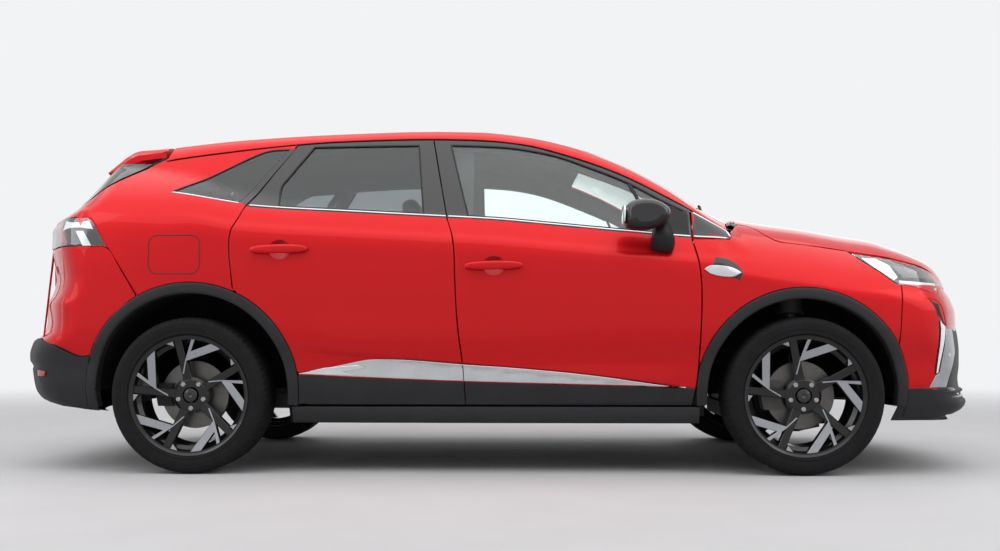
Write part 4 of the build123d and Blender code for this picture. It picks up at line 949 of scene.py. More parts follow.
# ------------------------------------------------------------------ wheels and tyres
def lathe(profile, n, at, closed=True, ripple=None):
    """Ring turned about the Y axis from (y, radius) points; ripple(j, y, r) changes a radius."""
    cx, cy, cz = at
    verts = []
    for j in range(n):
        a = 2 * math.pi * j / n
        for y, r in profile:
            if ripple:
                r = ripple(j, y, r)
            verts.append((cx + r * math.sin(a), cy + y, cz + r * math.cos(a)))
    k = len(profile)
    last = k if closed else k - 1
    faces = []
    for j in range(n):
        m = (j + 1) % n
        for i in range(last):
            o = (i + 1) % k
            faces.append((j * k + i, m * k + i, m * k + o, j * k + o))
    return verts, faces


def miter(poly, g):
    """Closed polygon with every edge moved inward by g."""
    p = np.array(poly, float)
    area = (p[:, 0] * np.roll(p[:, 1], -1) - np.roll(p[:, 0], -1) * p[:, 1]).sum()
    d = np.roll(p, -1, axis=0) - p
    d /= np.linalg.norm(d, axis=1)[:, None]
    n = np.c_[-d[:, 1], d[:, 0]] * (1 if area > 0 else -1)
    n0 = np.roll(n, 1, axis=0)
    return p + (n + n0) * (g / np.maximum(0.25, 1 + (n * n0).sum(1)))[:, None]


def facet(poly, top, depth, bevel, at, turn=0.0, out=1.0):
    """Solid bar with a bevelled face: poly is seen from outside the wheel, top(r) its height."""
    cx, cy, cz = at
    c, s = math.cos(math.radians(turn)), math.sin(math.radians(turn))
    outer = np.array(poly, float)
    area = (outer[:, 0] * np.roll(outer[:, 1], -1) - np.roll(outer[:, 0], -1) * outer[:, 1]).sum()
    if area < 0:
        outer = outer[::-1]
    inner = miter(outer, bevel)
    n = len(outer)
    verts = []
    for pts, drop in ((inner, 0.0), (outer, bevel), (outer, depth)):
        for u, v in pts:
            h = top(math.hypot(u, v)) - drop
            verts.append((cx - out * (u * c + v * s), cy + out * h, cz + v * c - u * s))
    tri = geometry.delaunay_2d_cdt([Vector(p) for p in inner], [(i, (i + 1) % n) for i in range(n)],
                                   [], 1, 1e-4)
    faces = [tuple(f) for f in tri[2]] if len(tri[0]) == n else [tuple(range(n))]
    fixed = []
    for f in faces:
        a, b, q = (inner[i] for i in f[:3])
        turn_sign = (b[0] - a[0]) * (q[1] - a[1]) - (b[1] - a[1]) * (q[0] - a[0])
        fixed.append(f if turn_sign > 0 else f[::-1])
    back = [tuple(2 * n + i for i in f[::-1]) for f in fixed]
    for base in (0, n):
        for i in range(n):
            j = (i + 1) % n
            fixed.append((base + i, base + n + i, base + n + j, base + j))
    return verts, fixed + back


TREAD_GROOVES = (22.0, 58.0)
GROOVE_W = 4.5
SIPE_STEP = 5
half_tyre = [(84, 243), (97, 243.5), (98, 259), (103, 262.5), (108.2, 266), (109.2, 269.5),
             (107.6, 273), (109.4, 280), (111.6, 290), (112.4, 300), (111.6, 303), (112.2, 305),
             (111.4, 312), (108.8, 321), (105.2, 327.5), (101, 331.5), (95, 333.8), (84, 335.4),
             (72, 336.3)]
for g in TREAD_GROOVES[::-1]:
    half_tyre += [(g + GROOVE_W + 2, 337.2), (g + GROOVE_W, 336.4), (g + 2.5, 329.5),
                  (g - 2.5, 329.5), (g - GROOVE_W, 336.8), (g - GROOVE_W - 2, 337.6)]
half_tyre.append((6, 338.0))
tyre_profile = half_tyre + [(-y, r) for y, r in half_tyre[::-1]]
tyre_profile += [(-80, 250), (-86, 300), (-60, 320), (60, 320), (86, 300), (80, 250)]


def tread(j, y, r):
    """Cross cuts in the shoulder and centre blocks, and a serrated band under the shoulder."""
    a = abs(y)
    if r > 326 and a > 66:
        return r - (5.0 if (j + int(y / 14)) % SIPE_STEP == 0 else 0.0)
    if r > 336 and 28 < a < 52:
        return r - (3.5 if (j + int(y / 8)) % (2 * SIPE_STEP) == 3 else 0.0)
    return r


def face_y(r):
    """Height of the wheel's face over the wheel's middle plane, at radius r."""
    return 62.0 + 32.0 * (min(r, 255.0) / 250.0) ** 1.4


BLADE_ANGLE = math.radians(30.0)
BLADE_HALF = 18.0
bc, bs = math.cos(BLADE_ANGLE), math.sin(BLADE_ANGLE)
BLADE = [(r * bc - w * bs, r * bs + w * bc) for r, w in
         ((44, BLADE_HALF + 6), (44, -BLADE_HALF - 6), (90, -BLADE_HALF), (253, -BLADE_HALF + 2),
          (253, BLADE_HALF - 2), (90, BLADE_HALF))]
ARROW = [(12, 250), (30, 249), (7, 192), (105, 227), (148, 203), (-15, 148), (-27, 92), (-36, 90),
         (-22, 151)]
RIM_TRIANGLE = [(179, 177), (209, 142), (180, 126)]
WHEEL_SECTORS = 5


def wheel_at(end, side, x, sg):
    """One tyre and wheel. The casting isn't handed, so the left one is the right one turned."""
    name = "%s_%%s_%s" % (end, side)
    body = "%s_wheel_%s_body" % (end, side)
    at = (x, sg * WHEEL_Y, HUB_Z)
    tyre = make(name % "tyre_rubber", lathe(tyre_profile, 360, at, ripple=tread), RUBBER, body)
    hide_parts("%s_tyre_%s" % (end, side))

    def spun(profile, n):
        """Turned solid from (outward, radius) points."""
        return lathe([(sg * y, r) for y, r in profile][::int(sg)], n, at)

    turn = [72.0 * k for k in range(WHEEL_SECTORS)]
    black = [spun([(104, 259), (98.5, 259.5), (97, 242), (72, 241), (60, 226), (-60, 222),
                   (-72, 241), (-97, 241.5), (-98.5, 259), (-104, 259), (-104, 254), (-100, 238),
                   (-74, 234), (-60, 216), (60, 219), (74, 235), (96, 246), (101, 254)], 180)]
    black += [facet(BLADE, lambda r: face_y(r) - 3, 34, 2.0, at, a, sg) for a in turn]
    black += [facet(ARROW, lambda r: face_y(r) - 1.3, 30, 0.8, at, a, sg) for a in turn]
    black += [facet(RIM_TRIANGLE, lambda r: face_y(r) - 1.3, 24, 0.8, at, a, sg) for a in turn]
    black.append(spun([(30, 36), (30, 80), (58, 78), (66, 66), (66, 36)], 72))
    casting = make(name % "wheel_casting", joined(black), ALLOY_BLACK, body, flat=True)
    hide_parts("%s_wheel_%s" % (end, side))
    cut = [facet(miter(ARROW, 1.2), lambda r: face_y(r) + 0.2, 2.0, 0.5, at, a, sg) for a in turn]
    cut += [facet(miter(RIM_TRIANGLE, 1.2), lambda r: face_y(r) + 0.2, 2.0, 0.5, at, a, sg)
            for a in turn]
    cut.append(spun([(94, 247.5), (97.6, 249.5), (98.2, 252), (95, 253.5), (90, 250)], 180))
    make(name % "machined_faces", joined(cut), ALLOY_CUT, body, flat=True)
    cap = [(60, 0.01), (60, 29), (70, 29), (72.5, 26.5), (72, 22), (73.5, 20), (74.5, 0.01)]
    make(name % "hub_cap", spun(cap, 48), GLOSS, body)
    nuts = []
    for k in range(5):
        a = math.radians(36 + 72 * k)
        nx, nz = 57.15 * math.sin(a), 57.15 * math.cos(a)
        nuts.append(facet(circle(0, 0, 11, 11, 6), lambda r: 70.0, 14, 1.5,
                          (x + nx, at[1], HUB_Z + nz), 0, sg))
    make(name % "wheel_nuts", joined(nuts), STEEL, body, flat=True)
    disc = []
    for y0, y1 in ((-20.5, -12.5), (-6.5, 1.5)):
        disc.append(spun([(y0, 78), (y0, 147), (y0 + 1, 148), (y1 - 1, 148), (y1, 147), (y1, 78)],
                         120))
    disc.append(spun([(-6, 80), (1.5, 80), (24, 76), (29, 72), (29, 34), (24, 34), (20, 70),
                      (-6, 74)], 72))
    for k in range(36):
        a = math.radians(10 * k)
        blade = [(82, -2), (144, -2), (144, 2), (82, 2)]
        blade = [(u * math.cos(a) - v * math.sin(a), u * math.sin(a) + v * math.cos(a))
                 for u, v in blade]
        disc.append(facet(blade, lambda r: -6.3, 6.4, 0.2, at, 0, sg))
    make(name % "brake_disc", joined(disc), DISC, body, flat=True)


for end, x in (("front", FRONT_AXLE_X), ("rear", REAR_AXLE_X)):
    for side, sg in SIDES:
        wheel_at(end, side, x, sg)


# ------------------------------------------------------------------ front wheel-house liners
LINER_R, LINER_IN = 424.0, 470.0
for side, sg in SIDES:
    turn = np.radians(np.linspace(-4, 184, 60))
    cx, cz = FRONT_ARCH[:2]
    rows = [[(cx + r * math.cos(a), sg * y, cz + r * math.sin(a)) for a in turn]
            for r, y in ((LINER_R, 842), (LINER_R, 700), (LINER_R - 2, LINER_IN + 16),
                         (LINER_R - 16, LINER_IN), (4, LINER_IN))]
    make("wheel_house_liner_" + side, sheet_grid(rows), LINER)

# ------------------------------------------------------------------ window frames and glass
WINDOW_LOW = 12.0           # glass starts this far over the belt line
top_front = along(window_top, 826, -214)
front_window = ring(smooth([at(window_top, -214), (-170, 1282), at(belt_z, -127, WINDOW_LOW)]),
                    along(belt_z, -127, 826, dz=WINDOW_LOW),
                    [(826, float(window_top(826)))], top_front)
top_rear = along(window_top, -354, -829)
rear_window = ring(top_rear, smooth([at(window_top, -829), (-930, 1300), (-958, 1255),
                                     at(belt_z, -957, WINDOW_LOW)]),
                   along(belt_z, -957, -318, dz=WINDOW_LOW),
                   smooth([at(belt_z, -318, WINDOW_LOW), (-336, 1290), at(window_top, -354)]))
frame_post = [at(rail_z, -291, -4), (-255, 1300), at(belt_z, -217, 2)]
front_frame = ring(along(belt_z, -214, 843, dz=2), [at(rail_z, 843, -4)],
                   along(rail_z, 843, -291, dz=-4), smooth(frame_post))
rear_frame = ring(along(belt_z, -1096, -217, dz=2), smooth(frame_post[::-1]),
                  along(rail_z, -291, -905, dz=-4),
                  smooth([at(rail_z, -905, -4), (-1000, 1312), (-1096, 1160)]))


def pane(outline, off):
    """Thin glass with a back face, off from the skin by `off`."""
    return patch(grow(outline, -1.0), on_side, 22, off=off, t=4, edge=0.6, back=True)


for name, frame, window, glass, body in (
        ("front", front_frame, front_window, GLASS, FRONT_DOOR),
        ("rear", rear_frame, rear_window, PRIVACY, REAR_DOOR)):
    both(name + "_window_frame",
         patch(grow(frame, GAP), on_side, 16, holes=[window], off=1.6, t=12), GLOSS, body)
    both(name + "_door_glass_pane", pane(window, -3), glass, body,
         instead_of=name + "_door_glass")
both("quarter_glass", pane(quarter_hole, -1), PRIVACY)
screen_rim = ring([at(screen_half, x, -1) for x in np.linspace(385, 1006, 30)],
                  smooth([(1006, 652), (1024, 300), (1028, 0), (1024, -300), (1006, -652)]),
                  other_side([at(screen_half, x, -1) for x in np.linspace(1006, 385, 30)]),
                  smooth([(385, -565), (402, -300), (407, 0), (402, 300), (385, 565)]))
windscreen = make("windscreen", patch(screen_rim, on_top, 24, off=0.5, t=5, edge=0.8, back=True),
                  GLASS)
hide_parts("fixed_glass")


CHROME_BAR = rounded_bar(7, 4.2, 1.6)
for name, x0, x1, body in (("front_belt_strip", -212, 838, FRONT_DOOR),
                           ("rear_belt_strip", -1084, -222, REAR_DOOR),
                           ("wing_belt_strip", 850, 1000, "body")):
    both(name, bead(along(belt_z, x0, x1, 14, dz=8), on_side, CHROME_BAR), SATIN, body)
both("quarter_belt_strip", bead(smooth([(-1130, 1176), (-1250, 1196), (-1360, 1215), (-1424, 1224)],
                                       14), on_side, CHROME_BAR), SATIN)
both("quarter_glass_seal",
     bead(grow(quarter_hole, 1.0), on_side, rounded_bar(7, 2.6, 1.2), closed=True), DARK)
for name, window, body in (("front_glass_seal", front_window, FRONT_DOOR),
                           ("rear_glass_seal", rear_window, REAR_DOOR)):
    both(name, bead(grow(window, -2), on_side, rounded_bar(8, 2.4, 1.0), closed=True), DARK, body)
both("glass_divider",
     bead(smooth([(583, 1268), (640, 1150), (690, 1052)]), on_side, rounded_bar(14, 1.5, 1.0)),
     DARK, FRONT_DOOR)
sail = ring([at(belt_z, 700, 12), at(belt_z, 832, 12)], [(832, 1124), (760, 1168)],
            smooth([(760, 1168), (726, 1110), at(belt_z, 700, 12)]))
both("mirror_sail", patch(sail, on_side, 16, off=2.4, t=8), DARK, FRONT_DOOR)
pillar_pane = ring([(852, 1020), (852, 1136)], smooth([(852, 1136), (930, 1094), (1004, 1048)]),
                   [(1004, 1048), (1006, 1020)])
both("pillar_pane", patch(grow(pillar_pane, -1), on_side, 14, off=2.6, t=10), GLOSS)
both("pillar_pane_trim", bead(smooth([(856, 1134), (930, 1092), (1002, 1046), (1010, 1026)], 10),
                              on_side, rounded_bar(9, 3.4, 1.4)), SATIN)

quarter_strip = ring(smooth([(-1124, 1180), (-1030, 1312), (-938, 1437)]),
                     smooth([(-911, 1441), (-999, 1314), (-1099, 1164)]))
both("quarter_strip", patch(quarter_strip, on_side, 12, off=PROUD + 0.6, t=8, edge=1), GLOSS)

# ------------------------------------------------------------------ cladding and lower trims
def arch_trim(arch, a0, a1, section, n):
    """Sweep of (radial, outward) points round an arch on the left skin."""
    cx, cz, r = arch
    angles = np.radians(np.linspace(a0, a1, n))
    rows = []
    for dr, out in section:
        q = np.c_[cx + (r + dr) * np.cos(angles), cz + (r + dr) * np.sin(angles)]
        base = on_side(q)
        base[:, 1] += out
        rows.append([tuple(v) for v in base])
    return sheet_grid(rows[::-1])


TRIM_SECTION = [(0, -2), (0.4, 4), (-1.2, 7.6), (-4.5, 9.2), (-14, 10.2), (-32, 10.6), (-41, 9.6),
                (-45, 7), (-46.5, 2), (-46.5, -14), (-46.5, -40)]
both("front_wheel_trim", arch_trim(FRONT_ARCH, -7, 187, TRIM_SECTION, 150), CLAD,
     instead_of="front_arch_trim")
both("rear_wheel_trim", arch_trim(REAR_ARCH, -8, 148, TRIM_SECTION, 150), CLAD)
both("rear_wheel_trim_low", arch_trim(REAR_ARCH, 148, 190, TRIM_SECTION, 40), CLAD)

FOOT = (-133, 298)                  # lower corner that the two door claddings share
front_clad = ring(between_z(LEAD, 298, 374), along(TRIM_LOW, 850, -146),
                  between_z(B_POST, 298, 400)[::-1], [FOOT])
rear_clad = ring([FOOT], between_z(B_POST, 298, 400), along(TRIM_LOW, -146, -858),
                 arch_run(REAR_ARCH, (424, 1), (300, 1)))
blade_end = between_z(B_POST, 402, 478)
front_blade = ring(along(TRIM_TOP, 806, -148, dz=-1.5), blade_end[::-1],
                   along(TRIM_LOW, -146, 806, dz=1.5))
rear_blade = ring(along(TRIM_TOP, -152, -846, dz=-1.5), along(TRIM_LOW, -846, -150, dz=1.5),
                  blade_end)
for name, clad, blade, body in (("front_door", front_clad, front_blade, FRONT_DOOR),
                                ("rear_door", rear_clad, rear_blade, REAR_DOOR)):
    both(name + "_cladding", patch(grow(clad, GAP), on_side, 16, off=5, t=12), CLAD, body)
    both(name + "_blade", patch(grow(blade, -1.2), on_side, 14, off=7, t=10), SATIN, body)
arrow = [(-850, 431), (-740, 458), (-600, 470), (-560, 458), (-660, 440), (-600, 424)]
both("rear_blade_arrow", patch(arrow, on_side, 12, off=10.5, t=6, edge=2.5), CHROME, REAR_DOOR)
sill_rows = []
for z, out in ((218, -70), (219, 2), (222, 6), (232, 8.5), (286, 8.5), (290, 5), (291, -14)):
    xs = np.linspace(-884, 868, 90)
    base = on_side(np.c_[xs, np.full(90, float(max(z, 222)))])
    base[:, 1] += out
    base[:, 2] = z
    sill_rows.append([tuple(v) for v in base])
both("sill_trim", sheet_grid(sill_rows), CLAD, instead_of="sill_cladding")


# ------------------------------------------------------------------ door handles, flap and vent
# sides and outer face of a four-cornered stub, whose first four points are its foot
STUB = [(0, 1, 5, 4), (1, 2, 6, 5), (2, 3, 7, 6), (3, 0, 4, 7), (4, 5, 6, 7)]


def handle(name, x, z, body):
    """Bar handle over a round dished recess, which is shaped by its normals alone."""
    turn = np.linspace(0, 2 * math.pi, 48, endpoint=False)
    cup, lean = [], []
    for k in (1.0, 0.9, 0.78, 0.62, 0.44, 0.24, 0.02):
        q = np.c_[x + 50 * k * np.cos(turn), z + 45 * k * np.sin(turn)]
        p = on_side(q)
        n = normals(p)
        slope = 1.9 * math.sin(math.pi * k ** 1.6) if k < 1 else 0.0
        m = n - slope * np.c_[np.cos(turn), np.zeros(48), np.sin(turn)]
        cup += [tuple(v) for v in p + n * (PROUD + 0.45)]
        lean += [tuple(v) for v in m / np.linalg.norm(m, axis=1)[:, None]]
    faces = []
    for i in range(6):
        for j in range(48):
            m = (j + 1) % 48
            faces.append((i * 48 + j, i * 48 + m, (i + 1) * 48 + m, (i + 1) * 48 + j))
    faces.append(tuple(6 * 48 + j for j in range(48)))
    both(name + "_cup", (np.array(cup), [f[::-1] for f in faces], np.array(lean)), PAINT, body)
    half = 125.0
    across = np.linspace(-1, 1, 49)
    rows = []
    for s in np.linspace(0, 2 * math.pi, 28, endpoint=False):
        row = []
        for u in across:
            end = max(0.0, 1 - abs(u) ** 9) ** 0.5
            w = (12.5 + 6.0 * (1 - abs(u) ** 2)) * max(end, 0.05)
            lift = 20 + 9 * (1 - u * u)
            thick = 9.5 * max(end, 0.05)
            cs, sn = math.cos(s), math.sin(s)
            square = (abs(cs) ** 3 + abs(sn) ** 3) ** (-1 / 3)
            row.append((x + u * half, z + 2 * u + w * sn * square, lift + thick * cs * square))
        rows.append(row)
    rows.append(rows[0])
    flat = [p for row in rows for p in row]
    p3 = on_side(np.array([(p[0], p[1]) for p in flat]))
    p3 = p3 + normals(p3) * np.array([p[2] for p in flat])[:, None]
    grid = [[tuple(v) for v in p3[i * 49:(i + 1) * 49]] for i in range(len(rows))]
    both(name + "_bar", sheet_grid(grid), PAINT, body)
    feet = []
    for fx in (-106, 106):
        mid = z + fx / 60
        foot = [(x + fx - 12, mid - 9), (x + fx + 12, mid - 9), (x + fx + 12, mid + 9),
                (x + fx - 12, mid + 9)]
        p = on_side(np.array(foot))
        n = normals(p)
        feet.append(([*(p - n * 2), *(p + n * 16)], STUB))
    both(name + "_feet", joined(feet), PAINT, body)


handle("front_handle", -12, 893, FRONT_DOOR)
handle("rear_handle", -932, 964, REAR_DOOR)

FLAP = (-1386.0, 944.0, 222.0, 166.0, 38.0)    # centre x and z, width, height, corner radius
both("fuel_flap_gap", bead(rounded_box(*FLAP), on_side,
                           [(-1.9, -2), (-1.9, PROUD + 0.5), (1.9, PROUD + 0.5), (1.9, -2)],
                           closed=True), DARK)
vent = ring(smooth([(892, 880), (905, 868), (990, 846), (1020, 838), (1032, 828)]),
            smooth([(1032, 828), (1046, 862), (1030, 892), (975, 925), (930, 928)]),
            smooth([(930, 928), (925, 905), (892, 880)]))
both("wing_vent", patch(vent, on_side, 10, off=4.5, t=8), GLOSS)
insert = ring(smooth([(884, 878), (905, 892), (960, 892), (1010, 880), (1040, 862)]),
              smooth([(1040, 862), (1010, 846), (960, 846), (905, 860), (884, 878)]))
both("wing_vent_insert", patch(insert, on_side, 8, off=8.5, t=6, edge=2.6), SATIN)


# ------------------------------------------------------------------ tail
TAIL_MID = 180 * RAY_SCALE
GATE_SIDE = [(520, 706), (572, 800), (590, 900), (596, 985), (596, 1110), (590, 1168)]
SPLIT = smooth([(-1758, 512), (-1805, 506), (-1928, 556), (-2027, 585)])
split_ray = tail_side(SPLIT) + [(TAIL_MID, 598)]
quarter_shut = tail_side(smooth([(-1746, 984), (-1679, 974), (-1623, 889), (-1554, 774)]))
arch_up = arch_run(REAR_ARCH, (764, -1), (516, -1))
gate_edge = tail_rear(smooth([(0, 703), (380, 703), (523, 703), (576, 800), (595, 900), (601, 984)]))
tail_half = gate_edge + quarter_shut + tail_side(arch_up) + split_ray[:-1] + [(TAIL_MID, 598)]
make("rear_bumper_skin", patch(grow(mirrored(tail_half, TAIL_MID), GAP), on_tail, 20), PAINT)
arch_down = arch_run(REAR_ARCH, (494, -1), (268, -1))
low_half = ([(TAIL_MID, 594)] + [(u, v - 4) for u, v in split_ray[:-1][::-1]]
            + tail_side(arch_down) + tail_side([(-1790, 266), (-1840, 268)])
            + [(TAIL_MID - 30 * RAY_SCALE, 272), (TAIL_MID, 272)])


def lower_bumper(p, n, v2):
    """Stepped lower half of the rear bumper: a shelf under the split and a tucked-in apron."""
    z = v2[:, 1]
    lift = 6.0 * np.clip((z - 470) / 12, 0, 1) + 4.0
    lift -= 9.0 * np.exp(-((z - 462) / 5.0) ** 2)
    return p + n * lift[:, None], n


make("rear_bumper_apron", patch(mirrored(low_half, TAIL_MID), on_tail, 12, sculpt=lower_bumper),
     CLAD)
diffuser = mirrored([(TAIL_MID, 430), (TAIL_MID - 22 * RAY_SCALE, 430),
                     (TAIL_MID - 27 * RAY_SCALE, 400), (TAIL_MID - 25 * RAY_SCALE, 330),
                     (TAIL_MID, 330)], TAIL_MID)
make("rear_skid_plate", patch(diffuser, on_tail, 14, off=9, t=10, edge=3), SATIN)
both("rear_reflector",
     patch(tail_side([(-2020, 420), (-1975, 420), (-1975, 442), (-2020, 446)]),
           on_tail, 8, off=14, t=8, edge=2), LAMP_RED)

# tailgate
gate_half = ([(0, 709), (515, 709)] + smooth([(y - 3, z) for y, z in GATE_SIDE])[1:]
             + smooth([(584, 1180), (300, 1170), (0, 1168)]))
make("tailgate_skin",
     patch(mirrored(gate_half), on_rear, 18, holes=[rounded_box(0, 872, 560, 138, 26)]), PAINT,
     "tailgate_body")
make("plate_recess", patch(rounded_box(0, 872, 562, 140, 26), on_rear, 18, off=0.5, t=2, edge=0.5),
     CLAD, "tailgate_body")
make("rear_plate_blank",
     patch(rounded_box(0, 866, 522, 112, 8), on_rear, 20, off=3.0, t=3, edge=1.0), GREY,
     "tailgate_body")
make("rear_plate_holder", patch(rounded_box(0, 866, 534, 124, 10), on_rear, 20, off=3.6, t=6,
                                edge=1.6, holes=[rounded_box(0, 866, 520, 110, 6)]), DARK,
     "tailgate_body")
make("tailgate_grip", patch(rounded_box(0, 952, 300, 22, 9), on_rear, 14, off=5, t=8, edge=3),
     GLOSS, "tailgate_body")
GLASS_SIDE = [(-1838, 1178), (-1828, 1184), (-1700, 1275), (-1560, 1374)]
side_pts = on_side(np.array(smooth(GLASS_SIDE), float))
hatch_half = ([(0, 1172), (300, 1173)] + [(float(y) - 4, float(z)) for x, y, z in side_pts]
              + smooth([(float(side_pts[-1][1]) - 4, 1376), (300, 1386), (0, 1390)])[1:])
CAD_PANE = [(505, 1186), (470, 1352), (300, 1366), (-300, 1366), (-470, 1352), (-505, 1186),
            (-300, 1174), (300, 1174)]
band = patch(mirrored(hatch_half), on_rear, 16, holes=[grow(CAD_PANE, -9)], off=1.8, t=6, edge=1.0)
make("hatch_glass_border", band, GLOSS, "tailgate_body")
glass_return = ring(smooth([(-1832, 1181), (-1826, 1186), (-1700, 1275), (-1562, 1373)]),
                    smooth([(-1740, 1378), (-1850, 1290), (-1925, 1182)]))
both("hatch_glass_side", patch(glass_return, on_side, 12, off=2.6, t=8, edge=1), GLOSS,
     "tailgate_body")
pane_obj = make("hatch_glass",
                patch(grow(CAD_PANE, -9.6), on_rear, 20, off=0.8, t=4, edge=0.5, back=True),
                PRIVACY, "tailgate_body")
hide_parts("tailgate_glass")
lip = smooth([(-1790, 585), (-1822, 400), (-1832, 0), (-1822, -400), (-1790, -585)])
spoiler_rim = ring(lip, [(-1512, -604)], [(-1512, 604)])


def flick(p, n, v2):
    """Turned-up rear edge."""
    back = np.clip((-1530 - p[:, 0]) / 290, 0, 1)
    p = p + np.c_[np.zeros(len(p)), np.zeros(len(p)), 30.0 * back ** 1.6]
    lean = n + np.c_[0.16 * back ** 0.6, np.zeros(len(p)), np.zeros(len(p))]
    return p, lean / np.linalg.norm(lean, axis=1)[:, None]


make("spoiler_skin", patch(grow(spoiler_rim, GAP / 2), on_top, 16, t=30, sculpt=flick, back=True),
     PAINT, "tailgate_body")
make("brake_lamp_bar", bead(smooth([(-1818, 240), (-1825, 0), (-1818, -240)]), on_top,
                            [(-5, -20), (-5, -12), (5, -12), (5, -20)], off=3), LAMP_RED,
     "tailgate_body")
make("rear_wiper", bead([(0, 1182), (60, 1190), (180, 1204), (330, 1218)], on_rear,
                        [(-6, 4), (-5, 12), (5, 12), (6, 4)]), DARK, "tailgate_body")
make("rear_wiper_hub", patch(circle(0, 1183, 18, 16, 20), on_rear, 10, off=14, t=14, edge=4),
     DARK, "tailgate_body")
make("tailgate_badge_blank", patch(circle(0, 1040, 34, 40, 36), on_rear, 12, off=6, t=8, edge=3),
     CHROME, "tailgate_body")

# tail lamps
lamp_side = [(-1684, 982), (-1741, 1078), (-1764, 1104), (-1829, 1108), (-1925, 1109),
             (-1966, 1089)]
lamp_out = (tail_side(smooth(lamp_side)) + tail_rear([(598, 1086), (600, 1036), (597, 988)])
            + tail_side([(-1931, 987), (-1840, 986), (-1740, 984)]))
both("tail_lamp_cover",
     patch(grow(ring(lamp_out), -1.5), on_tail, 12, off=6.2, t=1.6, edge=1.2, back=True),
     LAMP_GLASS)
both("tail_lamp_shell", patch(grow(ring(lamp_out), -3), on_tail, 12, off=2.4, t=12, edge=0.5),
     LAMP_DARK, instead_of="tail_lamp")
for name, pts, mat in (
        ("tail_lamp_block_front", [(-1732, 1048), (-1693, 986), (-1747, 986), (-1786, 1048)], GLOSS),
        ("tail_lamp_bar", [(-1790, 1050), (-1751, 985), (-1791, 985), (-1826, 1050)], LAMP_WHITE),
        ("tail_lamp_block_rear", [(-1831, 1048), (-1796, 986), (-1852, 986), (-1892, 1048)], GLOSS),
        ("tail_lamp_crown", [(-1745, 1056), (-1766, 1094), (-1885, 1096), (-1898, 1056)],
         LAMP_WHITE),
        ("tail_lamp_rear_glow", [(-1900, 1090), (-1946, 1082), (-1936, 994), (-1868, 992)],
         LAMP_RED)):
    both(name, patch(tail_side(pts), on_tail, 10, off=4.0, t=3, edge=1.0), mat)
gate_lamp = (smooth([(590, 1088), (470, 1078), (400, 1060)])
             + smooth([(400, 1052), (470, 1010), (590, 990)]))
both("tailgate_lamp", patch(ring(gate_lamp), on_rear, 12, off=4.5, t=6, edge=2), LAMP_RED,
     "tailgate_body")

# ------------------------------------------------------------------ nose
lamp_low = nose_side(smooth([(1722, 810), (1794, 799), (1893, 773), (1909, 798), (1940, 795)]))
nose_half = (nose_front([(0, 862), (200, 862), (300, 858), (330, 838), (440, 806)])
             + lamp_low[::-1]
             + nose_side(smooth([(1722, 806), (1712, 640), (1706, 566)]))
             + nose_side(arch_run(FRONT_ARCH, (560, 1), (378, 1)))
             + nose_side([(1801, 377), (1838, 377)])
             + nose_side(smooth([(1866, 430), (1887, 625), (1872, 683), (1832, 754)]))
             + nose_side(smooth([(1832, 754), (1890, 737), (1931, 634)]))
             + nose_front([(600, 632)])
             + nose_front(smooth([(500, 632), (486, 700), (478, 752)], 20))
             + nose_front(smooth([(478, 752), (240, 757), (0, 758)], 20)))
make("nose_skin", patch(grow(mirrored(nose_half), GAP), on_nose, 16), PAINT)

vent_pts = nose_side([(1837, 752), (1888, 732), (1927, 638), (1918, 634), (1878, 683)])
both("corner_vent", patch(vent_pts, on_nose, 9, off=0.8, t=6, edge=1), DARK)
drl = nose_side(straight((1889, 660), (1920, 638)) + straight((1924, 629), (1885, 437))
                + straight((1873, 433), (1893, 625)))
both("daylight_lamp", patch(grow(ring(drl), -1.5), on_nose, 8, off=4.5, t=8, edge=2.4), LAMP_WHITE)
both("daylight_lamp_rim",
     bead(grow(ring(drl), 0.6), on_nose, rounded_bar(5, 3.4, 1.2), closed=True), DARK)
grey = nose_side(straight((1930, 627), (1983, 625), (1997, 521), (1930, 373), (1842, 373),
                          (1872, 427)) + straight((1890, 437), (1928, 627)))
both("corner_panel", patch(grow(ring(grey), -1.2), on_nose, 12, off=3.2, t=8, edge=3.0), GREY)
both("parking_sensor", patch(nose_side(circle(1946, 512, 9, 9, 20)), on_nose, 6, off=4.6, t=6,
                             edge=1.4), SATIN)
side_black = nose_side(straight((1985, 625), (1999, 521), (1934, 373)))
lower_hole = nose_front(straight((556, 466), (498, 336), (-498, 336), (-556, 466), (556, 466),
                                 step=20))
mid_half = ([(0.0, 571)] + nose_front([(200, 571), (436, 571), (446, 600), (452, 629), (520, 629)])
            + side_black + nose_front([(560, 318), (300, 318), (0, 318)]))
make("nose_mask", patch(mirrored(mid_half), on_nose, 14, holes=[lower_hole], off=1.6, t=10, edge=2),
     DARK)
# grilles: a lattice of small slanted bars in the mouth and slats in the intake
cells = []
for row in range(8):
    z = 586 + row * 22
    for k in range(-20, 21):
        y = k * 42 + (21 if row % 2 else 0)
        if abs(y) + 20 < 436 + (z - 575) * 0.22:
            cells.append((y, z))


def lattice(cells, w, h, off, thick, slant):
    """Small raised bars on the nose skin at (y, z) cells."""
    parts = []
    for y, z in cells:
        p = on_front(np.array([(y - w, z - h - slant), (y + w, z - h + slant),
                               (y + w, z + h + slant), (y - w, z + h - slant)], float))
        n = normals(p)
        lo = p + n * (off - thick)
        hi = p + n * off
        mid = hi.mean(0)
        hi = mid + (hi - mid) * 0.8
        parts.append(([*lo, *hi], STUB))
    return joined(parts)


